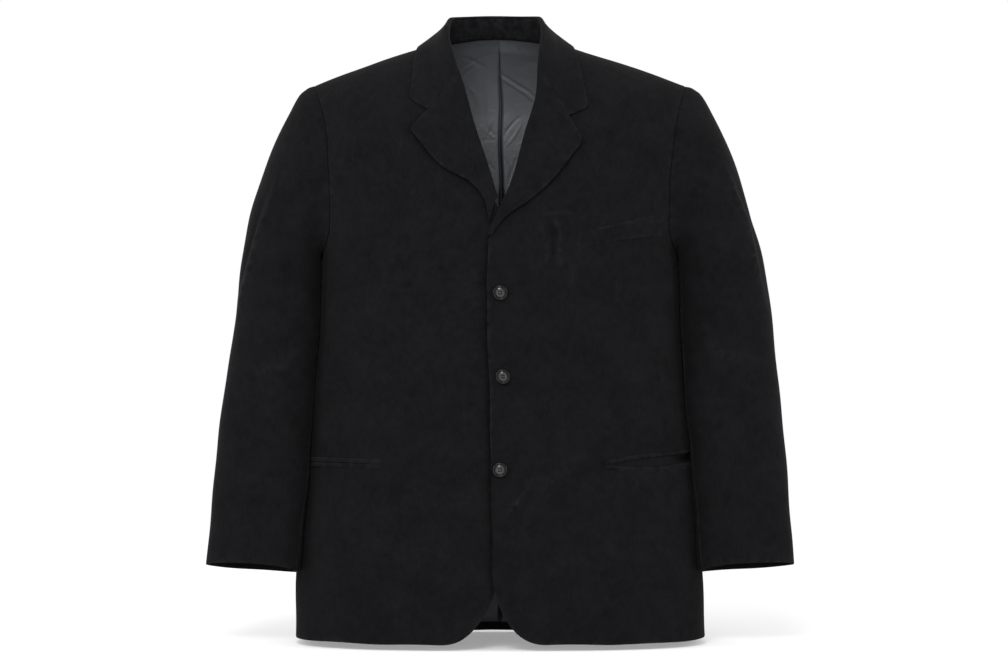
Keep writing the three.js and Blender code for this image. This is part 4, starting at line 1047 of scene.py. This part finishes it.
def button_frame(x, z):
    """Where a button sits on the left front, and its directions out, across and up."""
    p, n = body_at(False, np.float64(x), np.float64(z))
    across = unit(np.array([1.0, 0, 0]) - n * n[0])
    return p + n * (LAP_LIFT + 0.6), n, across, np.cross(n, across)


def hole_turn(number, hole):
    """Where one of a button's holes stands round its centre."""
    return math.radians(45 + 90 * hole + 8 * number)


def button(number, material):
    """A dished button with a rounded rim and four holes."""
    centre, n, across, up = button_frame(*BUTTONS[number])
    steps = (0, 0.14, 0.22, 0.3, 0.38, 0.46, 0.56, 0.7, 0.85, 1)
    outline = curve(steps, (6.2, 8.3, 9.0, 9.35, 9.2, 8.6, 7.7, 6.6, 4.5, 0.02))
    height = curve(steps, (0, 0.5, 1.1, 2.0, 2.9, 3.5, 3.6, 2.0, 2.8, 3.3))
    t = np.concatenate([np.linspace(0, 0.7, 40), np.linspace(0.7, 1, 46)[1:]])
    turns = np.linspace(0, 2 * math.pi, 145)[:-1]
    r, h = outline(t)[:, None], height(t)[:, None] + 0 * turns[None]
    a, b = r * np.cos(turns), r * np.sin(turns)
    for k in range(4):
        turn = hole_turn(number, k)
        away = np.hypot(a - HOLE_REACH * math.cos(turn), b - HOLE_REACH * math.sin(turn))
        h = h - np.where(column(t) > 0.6, HOLE_DEPTH * (1 - smooth((away - HOLE_HALF) / 0.35)), 0)
    grid = centre + n * column(h) + across * column(a) + up * column(b)
    rows, columns = t.size, turns.size
    index = np.arange(rows * columns).reshape(rows, columns)
    wrapped = np.concatenate([index, index[:, :1]], 1)
    uvs = np.stack([a, b], -1).reshape(-1, 2)
    points = settle(grid).reshape(-1, 3)
    made = build_mesh(f"button_{number + 1}_horn", points, cells(wrapped), uvs, 0 * a.ravel(), material)
    work = bmesh.new()
    work.from_mesh(made.data)
    bmesh.ops.holes_fill(work, edges=[e for e in work.edges if e.is_boundary])
    bmesh.ops.recalc_face_normals(work, faces=work.faces)
    work.to_mesh(made.data)
    work.free()
    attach(made, "root")
    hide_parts(f"button_{number + 1}")


# Materials


def new_group(name, kind, inputs, outputs):
    """A node group with its sockets, each given as a name, a type and, for an input, its default."""
    group = bpy.data.node_groups.new(name, kind)
    for label, socket_type, default in inputs:
        socket = group.interface.new_socket(name=label, in_out="INPUT", socket_type=f"NodeSocket{socket_type}")
        if default is not None:
            socket.default_value = default
    for label, socket_type in outputs:
        group.interface.new_socket(name=label, in_out="OUTPUT", socket_type=f"NodeSocket{socket_type}")
    return group, group.nodes.new("NodeGroupInput").outputs, group.nodes.new("NodeGroupOutput").inputs


def plug(tree, socket, source):
    """Feeds a socket from another, or from a node's first output, or sets its value."""
    if isinstance(source, bpy.types.Node):
        source = source.outputs[0]
    if isinstance(source, bpy.types.NodeSocket):
        tree.links.new(source, socket)
    else:
        socket.default_value = source


def add(tree, kind, sources=(), **values):
    """Adds a node, sets its properties by name, and feeds its sockets by name or number."""
    node = tree.nodes.new(kind)
    for name, value in values.items():
        setattr(node, name, value)
    for key, source in dict(sources).items():
        plug(tree, node.inputs[key], source)
    return node


def calc(tree, operation, *sources):
    """A sum on one to three values."""
    return add(tree, "ShaderNodeMath", enumerate(sources), operation=operation)


def ranged(tree, *sources, **values):
    """A value, and the range it comes from and goes to."""
    return add(tree, "ShaderNodeMapRange", enumerate(sources), **values)


def noise(tree, place, scale, detail, **more):
    return add(tree, "ShaderNodeTexNoise", {"Vector": place, "Scale": scale, "Detail": detail, **more})


def blend(tree, share, deep, pale, **values):
    return add(tree, "ShaderNodeMix", {0: share, 6: deep, 7: pale}, data_type="RGBA", **values).outputs[2]


def bumped(tree, height, distance, strength):
    return add(tree, "ShaderNodeBump", {"Height": height, "Distance": distance, "Strength": strength})


def fabric_group(name, *more):
    """A node group that makes a fabric's colour and surface from its place, flat cloth, tones, and its wear and
    painted shade.
    """
    inputs = (
        ("Place", "Vector", None),
        ("Flat", "Vector", None),
        ("Deep", "Color", (0.01, 0.01, 0.011, 1)),
        ("Pale", "Color", (0.02, 0.02, 0.021, 1)),
        ("Wear", "Float", 0.0),
        *more,
    )
    return new_group(name, "ShaderNodeTree", inputs, (("Color", "Color"), ("Normal", "Vector")))


def nap_group():
    """Uneven nap of brushed cloth: a colour between two tones, and a surface with fine fibres."""
    group, i, out = fabric_group("nap", ("Blotch", "Float", 14.0))
    broad = noise(group, i["Place"], i["Blotch"], 5.0, Roughness=0.62)
    spots = noise(group, i["Place"], 95.0, 3.0, Roughness=0.6, Distortion=0.6)
    drawn = add(group, "ShaderNodeMapping", {"Vector": i["Flat"], "Scale": (1.0, 0.22, 1.0)})
    streak = noise(group, drawn, 420.0, 2.0)
    fibre = noise(group, i["Place"], 900.0, 4.0, Roughness=0.7)
    mixed = calc(group, "MULTIPLY", broad, 0.3)
    for layer, share in ((spots, 0.28), (streak, 0.18), (fibre, 0.16)):
        mixed = calc(group, "MULTIPLY_ADD", layer, share, mixed)
    raised = ranged(group, mixed, 0.33, 0.59, 0.0, 1.0)
    patchy = ranged(group, spots, 0.4, 0.62, 0.05, 1.1)
    # Wear above zero rubs the nap pale in patches, and values below zero are painted shade that darkens it
    above, below = calc(group, "MAXIMUM", i["Wear"], 0.0), calc(group, "MINIMUM", i["Wear"], 0.0)
    worn = calc(group, "ADD", below, calc(group, "MULTIPLY_ADD", above, patchy, raised))
    held = calc(group, "MAXIMUM", worn, -0.5)
    plug(group, out["Color"], blend(group, held, i["Deep"], i["Pale"], clamp_factor=False))
    rough = calc(group, "MULTIPLY_ADD", fibre, 0.6, streak)
    plug(group, out["Normal"], bumped(group, rough, 0.00035, 0.7))
    return group


def satin_group():
    """Fine twill of a satin: a colour with faint clouding, darkened at its edges and by painted shade, and a ribbed
    surface with small puckers.
    """
    group, i, out = fabric_group("satin")
    cloud = noise(group, i["Place"], 22.0, 3.0)
    # Values from the edges and from painted shade darken the satin
    held = calc(group, "MAXIMUM", calc(group, "MULTIPLY_ADD", i["Wear"], -2.3, cloud), -1.9)
    plug(group, out["Color"], blend(group, held, i["Deep"], i["Pale"], clamp_factor=False))
    turned = add(group, "ShaderNodeMapping", {"Vector": i["Flat"], "Rotation": (0, 0, 0.6)})
    rib = add(group, "ShaderNodeTexWave", {"Vector": turned, "Scale": 420.0, "Distortion": 0.4}).outputs[1]
    pucker = noise(group, i["Place"], 55.0, 2.0, Distortion=0.8)
    sources = {0: pucker.outputs[1], 1: (0.03, 0.03, 0.03), 2: i["Place"]}
    bent = add(group, "ShaderNodeVectorMath", sources, operation="MULTIPLY_ADD")
    cell = add(group, "ShaderNodeTexVoronoi", {"Vector": bent, "Scale": 34.0}, feature="DISTANCE_TO_EDGE")
    crumple = calc(group, "ADD", ranged(group, cell, 0.0, 0.16, 0.2, 0.0), pucker)
    height = calc(group, "MULTIPLY_ADD", rib, 0.04, crumple)
    plug(group, out["Normal"], bumped(group, height, 0.0012, 0.5))
    return group


def new_material(name, **sockets):
    """A material with the shader's own sockets set, its nodes, its shader and the places on a piece."""
    material = bpy.data.materials.new(name)
    material.use_nodes = True
    tree = material.node_tree
    shader = tree.nodes["Principled BSDF"]
    for label, value in sockets.items():
        shader.inputs[label.replace("_", " ")].default_value = value
    return material, tree, shader.inputs, add(tree, "ShaderNodeTexCoord").outputs


def fabric_material(name, group, deep, pale, more=None, **sockets):
    """A material that wears a fabric's node group, between a deep and a pale tone."""
    material, tree, shader, place = new_material(name, **sockets)
    wear = add(tree, "ShaderNodeAttribute", attribute_name="wear").outputs["Fac"]
    given = {"Place": place["Object"], "Flat": place["UV"], "Wear": wear, "Deep": (*deep, 1), "Pale": (*pale, 1)}
    fabric = add(tree, "ShaderNodeGroup", {**given, **(more or {})}, node_tree=group)
    plug(tree, shader["Base Color"], fabric.outputs["Color"])
    plug(tree, shader["Normal"], fabric.outputs["Normal"])
    return material


def horn_material():
    """Dark polished horn with a painted reflection: paler towards its middle, where its flat coordinates are zero."""
    gloss = {"Roughness": 0.3, "Specular_IOR_Level": 0.05, "Coat_Weight": 0.5, "Coat_Roughness": 0.09}
    material, tree, shader, place = new_material("horn", **gloss)
    stretched = add(tree, "ShaderNodeMapping", {"Vector": place["Object"], "Scale": (1.0, 1.0, 0.3)})
    cloud = noise(tree, stretched, 260.0, 4.0, Distortion=1.2)
    across = add(tree, "ShaderNodeVectorMath", {0: place["UV"]}, operation="LENGTH").outputs["Value"]
    # Painted reflection: the middle is made paler and the rim dark, mixed with the horn's clouding
    mixed = calc(tree, "MULTIPLY", ranged(tree, across, 0.0066, 0.0045, 0.0, 1.2), cloud)
    tone = blend(tree, mixed, (0.0012, 0.0012, 0.0014, 1), (0.055, 0.053, 0.052, 1))
    plug(tree, shader["Base Color"], tone)
    plug(tree, shader["Normal"], bumped(tree, cloud, 0.0001, 0.3))
    return material


def thread_material():
    """Black twisted thread."""
    material, tree, shader, place = new_material("thread", Roughness=0.85, Specular_IOR_Level=0.1)
    ramp = add(tree, "ShaderNodeValToRGB", {"Fac": noise(tree, place["Object"], 3000.0, 2.0)})
    for stop, tone in zip(ramp.color_ramp.elements, ((0.0022, 0.0022, 0.0025, 1), (0.0075, 0.0075, 0.008, 1))):
        stop.color = tone
    plug(tree, shader["Base Color"], ramp)
    return material


# Stitching, laid along paths by nodes


def stitch_nodes():
    """Geometry nodes that lay stitches of one size along a path, turned from it by a slant."""
    inputs = (
        ("Path", "Geometry", None),
        ("Spacing", "Float", 0.001),
        ("Length", "Float", 0.001),
        ("Thickness", "Float", 0.0004),
        ("Slant", "Float", 0.0),
        ("Facing", "Vector", (0.0, -1.0, 0.0)),
        ("Material", "Material", None),
    )
    group, i, out = new_group("stitches", "GeometryNodeTree", inputs, (("Stitches", "Geometry"),))
    path = add(group, "GeometryNodeMeshToCurve", {0: i["Path"]})
    even = add(group, "GeometryNodeResampleCurve", {"Curve": path, "Length": i["Spacing"]}, mode="LENGTH")
    align = "FunctionNodeAlignRotationToVector"
    along = add(group, align, {"Vector": add(group, "GeometryNodeInputTangent")}, axis="X")
    facing = add(group, align, {"Rotation": along, "Vector": i["Facing"]}, axis="Z", pivot_axis="X")
    slant = add(group, "ShaderNodeCombineXYZ", {"Z": i["Slant"]})
    turn = {"Rotation": facing, "Rotate By": slant}
    turned = add(group, "FunctionNodeRotateRotation", turn, rotation_space="LOCAL")
    bead = add(group, "GeometryNodeMeshUVSphere", {"Segments": 8, "Rings": 6, "Radius": 0.5})
    size = add(group, "ShaderNodeCombineXYZ", {"X": i["Length"], "Y": i["Thickness"], "Z": i["Thickness"]})
    placing = {"Points": even, "Instance": bead, "Rotation": turned, "Scale": size}
    laid = add(group, "GeometryNodeInstanceOnPoints", placing)
    real = add(group, "GeometryNodeRealizeInstances", {0: laid})
    smoothed = add(group, "GeometryNodeSetShadeSmooth", {0: real})
    plug(group, out[0], add(group, "GeometryNodeSetMaterial", {"Geometry": smoothed, "Material": i["Material"]}))
    return group


def stitched(name, paths, nodes, material, **sizes):
    """A plain mesh of stitches along paths of points in millimetres."""
    points = np.concatenate(paths) * MM
    edges, first = [], 0
    for path in paths:
        edges += [(first + k, first + k + 1) for k in range(len(path) - 1)]
        first += len(path)
    mesh = bpy.data.meshes.new(f"{name}_path")
    mesh.from_pydata(points.tolist(), edges, [])
    holder = put(f"{name}_path", mesh)
    modifier = holder.modifiers.new("stitches", "NODES")
    modifier.node_group = nodes
    sockets = {s.name: s.identifier for s in nodes.interface.items_tree if s.in_out == "INPUT"}
    for label, value in {**sizes, "Material": material}.items():
        modifier[sockets[label]] = value
    holder.update_tag()
    graph = bpy.context.evaluated_depsgraph_get()
    made = put(name, bpy.data.meshes.new_from_object(holder.evaluated_get(graph)))
    bpy.data.objects.remove(holder)
    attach(made, "root")
    "button" if "button_" in name else "cloth"


def on_lap(xs, zs, height):
    """Points at a height over the left front, settled as the cloth is."""
    return settle(over_front(1, np.asarray(xs, float), np.asarray(zs, float), height))


def buttonhole_paths():
    """The worked edges of the buttonholes, which run inward from under each button."""
    paths = []
    turn = np.linspace(-math.pi / 2, math.pi / 2, 7)
    for x, z in BUTTONS:
        run, end, level = np.linspace(x - 3, x + 17.5, 24), x + 17.5, z - 0.4
        for edge in (level + BUTTONHOLE_HALF, level - BUTTONHOLE_HALF):
            paths.append(on_lap(run, np.full(24, edge), 0.35))
        paths.append(on_lap(end + 0.9 * np.cos(turn), level + 0.98 * np.sin(turn), 0.35))
    return paths


def thread_paths():
    """Two bars of thread across each button's holes."""
    paths = []
    for number, (x, z) in enumerate(BUTTONS):
        centre, n, across, up = button_frame(x, z)
        for k in (0, 1):
            turns = (hole_turn(number, 2 * k + m) for m in (0, 1))
            ends = [centre + (across * math.cos(t) + up * math.sin(t)) * HOLE_REACH for t in turns]
            share = np.linspace(0, 1, 9)[:, None]
            arch = 3.1 + 0.4 * np.sin(math.pi * share)
            paths.append(settle(lerp(ends[0], ends[1], share) + n * arch))
    return paths


def tack_paths():
    """Short bars that close the inner ends of the hip pockets' jets."""
    paths = []
    for key, pocket in HIP_POCKETS.items():
        side = FRONTS[key]["side"]
        x = pocket["reach"][0] + 1.2
        high, low = float(pocket["levels"]["top"](0)), float(pocket["levels"]["foot"](0))
        z = np.linspace(low + 1, high - 1, 9)
        paths.append(settle(over_front(side, np.full(9, x), z, 2.5) * (side, 1, 1)))
    return paths


# Settings


class JacketSettings(bpy.types.PropertyGroup):
    """Looks of the jacket's cloth and lining."""

    cloth_deep: FloatVectorProperty(
        name="Cloth, deep tone",
        description="Colour of the flattened nap",
        subtype="COLOR",
        default=(0.0026, 0.0026, 0.003),
    )
    cloth_pale: FloatVectorProperty(
        name="Cloth, pale tone",
        description="Colour of the raised or worn nap",
        subtype="COLOR",
        default=(0.0062, 0.0062, 0.007),
    )
    lining_deep: FloatVectorProperty(
        name="Lining, deep tone",
        description="Darker colour of the satin",
        subtype="COLOR",
        default=(0.067, 0.07, 0.077),
    )
    lining_pale: FloatVectorProperty(
        name="Lining, pale tone",
        description="Lighter colour of the satin",
        subtype="COLOR",
        default=(0.097, 0.101, 0.109),
    )
    blotch: FloatProperty(name="Mottling", description="Patches of nap to a metre", default=26.0, min=1.0)
    buttonholes: BoolProperty(
        name="Buttonholes", description="Lay the worked edges of the buttonholes", default=True
    )


class StageSettings(bpy.types.PropertyGroup):
    """Camera, lights and floor."""

    camera: FloatVectorProperty(
        name="Camera",
        description="Where the camera stands",
        subtype="TRANSLATION",
        unit="LENGTH",
        default=(0.0053, -3.5, -0.384),
    )
    lens: FloatProperty(
        name="Lens", description="Focal length on a sensor 36 mm wide", unit="CAMERA", default=95.0
    )
    floor: FloatProperty(name="Floor level", description="Height of the floor", unit="LENGTH", default=-0.7862)
    floor_reach: FloatProperty(
        name="Floor reach", description="Radius at which the floor has faded out", unit="LENGTH", default=2.2
    )
    surround: FloatProperty(
        name="Surround", description="Brightness of the white surround", default=1.0, min=0.0
    )
    key_power: FloatProperty(
        name="Main light", description="Power of the main light in watts", default=70.0, min=0.0
    )
    rim_power: FloatProperty(
        name="Side lights", description="Power of each side light in watts", default=26.0, min=0.0
    )
    segments: IntProperty(name="Floor sides", description="Sides of the floor's disc", default=96, min=12)


MADE = {}


def cloth():
    """The cloth's material, made once."""
    if "cloth" not in MADE:
        s = bpy.context.scene.jacket
        sheen = {"Sheen_Weight": 0.015, "Sheen_Roughness": 0.42, "Sheen_Tint": (0.85, 0.86, 0.9, 1)}
        matt = {"Roughness": 0.96, "Specular_IOR_Level": 0.06, **sheen}
        tones = s.cloth_deep, s.cloth_pale
        MADE["cloth"] = fabric_material("napped_cloth", nap_group(), *tones, {"Blotch": s.blotch}, **matt)
    return MADE["cloth"]


def thread():
    """The thread's material and the nodes that lay stitches, made once."""
    if "thread" not in MADE:
        MADE["thread"] = thread_material()
        MADE["stitches"] = stitch_nodes()
    return MADE["thread"], MADE["stitches"]


# Operators


class JACKET_OT_fronts(bpy.types.Operator):
    """Make the two front panels"""

    bl_idname = "jacket.fronts"
    bl_label = "Fronts"

    def execute(self, context):
        for key in ("right", "left"):
            dress(front_panel(key, cloth()))
        return {"FINISHED"}


class JACKET_OT_backs(bpy.types.Operator):
    """Make the two back panels"""

    bl_idname = "jacket.backs"
    bl_label = "Backs"

    def execute(self, context):
        for key, side in (("left", 1), ("right", -1)):
            dress(back_panel(key, side, cloth()))
        return {"FINISHED"}


class JACKET_OT_lining(bpy.types.Operator):
    """Make the back lining with its centre pleat"""

    bl_idname = "jacket.lining"
    bl_label = "Lining"

    def execute(self, context):
        s = context.scene.jacket
        gloss = {"Roughness": 0.48, "Specular_IOR_Level": 0.4}
        material = fabric_material("satin_lining", satin_group(), s.lining_deep, s.lining_pale, **gloss)
        dress(back_lining(material))
        return {"FINISHED"}


class JACKET_OT_sleeves(bpy.types.Operator):
    """Make the two-piece sleeves"""

    bl_idname = "jacket.sleeves"
    bl_label = "Sleeves"

    def execute(self, context):
        for key, side in (("left", 1), ("right", -1)):
            for piece in sleeve_pieces(key, side, cloth()):
                dress(piece)
        return {"FINISHED"}


class JACKET_OT_lapels(bpy.types.Operator):
    """Make the lapels, turned back over their folds"""

    bl_idname = "jacket.lapels"
    bl_label = "Lapels"

    def execute(self, context):
        for key in ("left", "right"):
            dress(lapel(key, cloth()))
        return {"FINISHED"}


class JACKET_OT_collar(bpy.types.Operator):
    """Make the collar's fall and stand"""

    bl_idname = "jacket.collar"
    bl_label = "Collar"

    def execute(self, context):
        shares = np.unique(np.concatenate([np.linspace(0.02, 0.97, 64), [0.98, 0.99, 0.995, 1.0]]))
        fall = collar_piece("collar_fall_cloth", collar_fall_sections, shares, cloth())
        upto = np.unique(np.concatenate([np.linspace(0.02, 0.83, 52), [0.835, STAND_END]]))
        stand = collar_piece("collar_stand_cloth", collar_stand_sections, upto, cloth(), STAND_RUBBED)
        dress(fall)
        dress(stand)
        return {"FINISHED"}


class JACKET_OT_pockets(bpy.types.Operator):
    """Make the hip pockets' jets and the chest welt"""

    bl_idname = "jacket.pockets"
    bl_label = "Pockets"

    def execute(self, context):
        for key in ("left", "right"):
            for part, high, low in (("upper", "top", "lip"), ("lower", "mouth", "foot")):
                jet = hip_pocket(key, part, high, low, cloth())
                dress(jet)
        dress(chest_welt(cloth()))
        return {"FINISHED"}


class JACKET_OT_buttons(bpy.types.Operator):
    """Make the buttons"""

    bl_idname = "jacket.buttons"
    bl_label = "Buttons"

    def execute(self, context):
        material = horn_material()
        for number in range(len(BUTTONS)):
            button(number, material)
        return {"FINISHED"}


class JACKET_OT_stitching(bpy.types.Operator):
    """Lay the thread in the buttons, the buttonholes and the pocket tacks"""

    bl_idname = "jacket.stitching"
    bl_label = "Stitching"

    def execute(self, context):
        material, nodes = thread()
        rows = [
            ("button_threads", thread_paths, (0.00045, 0.0009, 0.00062, 0.0)),
            ("pocket_tacks", tack_paths, (0.0006, 0.0024, 0.0005, 1.57)),
        ]
        if context.scene.jacket.buttonholes:
            rows.append(("buttonholes", buttonhole_paths, (0.00055, 0.0016, 0.0006, 1.57)))
        for name, paths, sizes in rows:
            sizes = dict(zip(("Spacing", "Length", "Thickness", "Slant"), sizes))
            stitched(name, paths(), nodes, material, **sizes)
        return {"FINISHED"}


def area_light(name, place, target, size, power):
    """A rectangular light aimed at a target."""
    data = bpy.data.lights.new(name, "AREA")
    data.shape, data.size, data.size_y, data.energy = "RECTANGLE", size[0], size[1], power
    made = put(name, data)
    made.location = place
    aim = np.array(target) - np.array(place)
    made.rotation_euler = Vector(aim).to_track_quat("-Z", "Y").to_euler()


def floor_material(reach):
    """A pale floor that fades out round its edge."""
    matt = {"Base_Color": (0.93, 0.93, 0.93, 1), "Roughness": 0.8, "Specular_IOR_Level": 0.1}
    material, tree, shader, place = new_material("floor", **matt)
    away = add(tree, "ShaderNodeVectorMath", {0: place["Object"]}, operation="LENGTH").outputs["Value"]
    fade = ranged(tree, away, 0.55 * reach, reach, 0.7, 0.0, interpolation_type="SMOOTHSTEP")
    plug(tree, shader["Alpha"], fade)
    plug(tree, shader["Normal"], bumped(tree, noise(tree, place["Object"], 60.0, 2.0), 0.0003, 0.2))
    return material


class JACKET_OT_stage(bpy.types.Operator):
    """Set the floor, the surround, the lights and the camera"""

    bl_idname = "jacket.stage"
    bl_label = "Stage"

    def execute(self, context):
        s = context.scene.jacket_stage
        scene = context.scene
        world = bpy.data.worlds.new("surround")
        world.use_nodes = True
        background = world.node_tree.nodes["Background"]
        background.inputs["Color"].default_value = (1, 1, 1, 1)
        background.inputs["Strength"].default_value = s.surround
        scene.world = world
        scene.view_settings.view_transform = "Standard"
        work = bmesh.new()
        bmesh.ops.create_circle(work, cap_ends=True, segments=s.segments, radius=s.floor_reach)
        mesh = bpy.data.meshes.new("floor")
        work.to_mesh(mesh)
        work.free()
        mesh.materials.append(floor_material(s.floor_reach))
        ground = put("floor", mesh)
        ground.location = (0, 0.25, s.floor)
        area_light("main", (-0.5, -2.8, 1.6), (0, 0, -0.3), (1.4, 1.0), s.key_power)
        for name, x in (("side_left", -2.6), ("side_right", 2.6)):
            area_light(name, (x, -1.0, 0.4), (0, 0, -0.4), (0.8, 1.8), s.rim_power)
        data = bpy.data.cameras.new("camera")
        data.lens, data.sensor_width = s.lens, 36.0
        data.clip_end = 50.0
        camera = put("camera", data)
        camera.location = s.camera
        camera.rotation_euler = (math.pi / 2, 0, 0)
        scene.camera = camera
        return {"FINISHED"}


class JACKET_PT_panel(bpy.types.Panel):
    """Buttons and settings for the jacket"""

    bl_idname = "JACKET_PT_panel"
    bl_label = "Suit jacket"
    bl_space_type = "VIEW_3D"
    bl_region_type = "UI"
    bl_category = "Jacket"

    def draw(self, context):
        for operator in STEPS:
            self.layout.operator(operator.bl_idname)
        for settings in (context.scene.jacket, context.scene.jacket_stage):
            box = self.layout.box()
            for name in settings.__annotations__:
                box.prop(settings, name)


STEPS = (
    JACKET_OT_fronts,
    JACKET_OT_backs,
    JACKET_OT_lining,
    JACKET_OT_sleeves,
    JACKET_OT_lapels,
    JACKET_OT_collar,
    JACKET_OT_pockets,
    JACKET_OT_buttons,
    JACKET_OT_stitching,
    JACKET_OT_stage,
)
CLASSES = (JacketSettings, StageSettings, *STEPS, JACKET_PT_panel)


def register():
    for item in CLASSES:
        bpy.utils.register_class(item)
    bpy.types.Scene.jacket = PointerProperty(type=JacketSettings)
    bpy.types.Scene.jacket_stage = PointerProperty(type=StageSettings)


def unregister():
    del bpy.types.Scene.jacket
    del bpy.types.Scene.jacket_stage
    for item in reversed(CLASSES):
        bpy.utils.unregister_class(item)


def main():
    register()
    for operator in STEPS:
        area, name = operator.bl_idname.split(".")
        getattr(getattr(bpy.ops, area), name)()


if __name__ == "__main__":
    main()
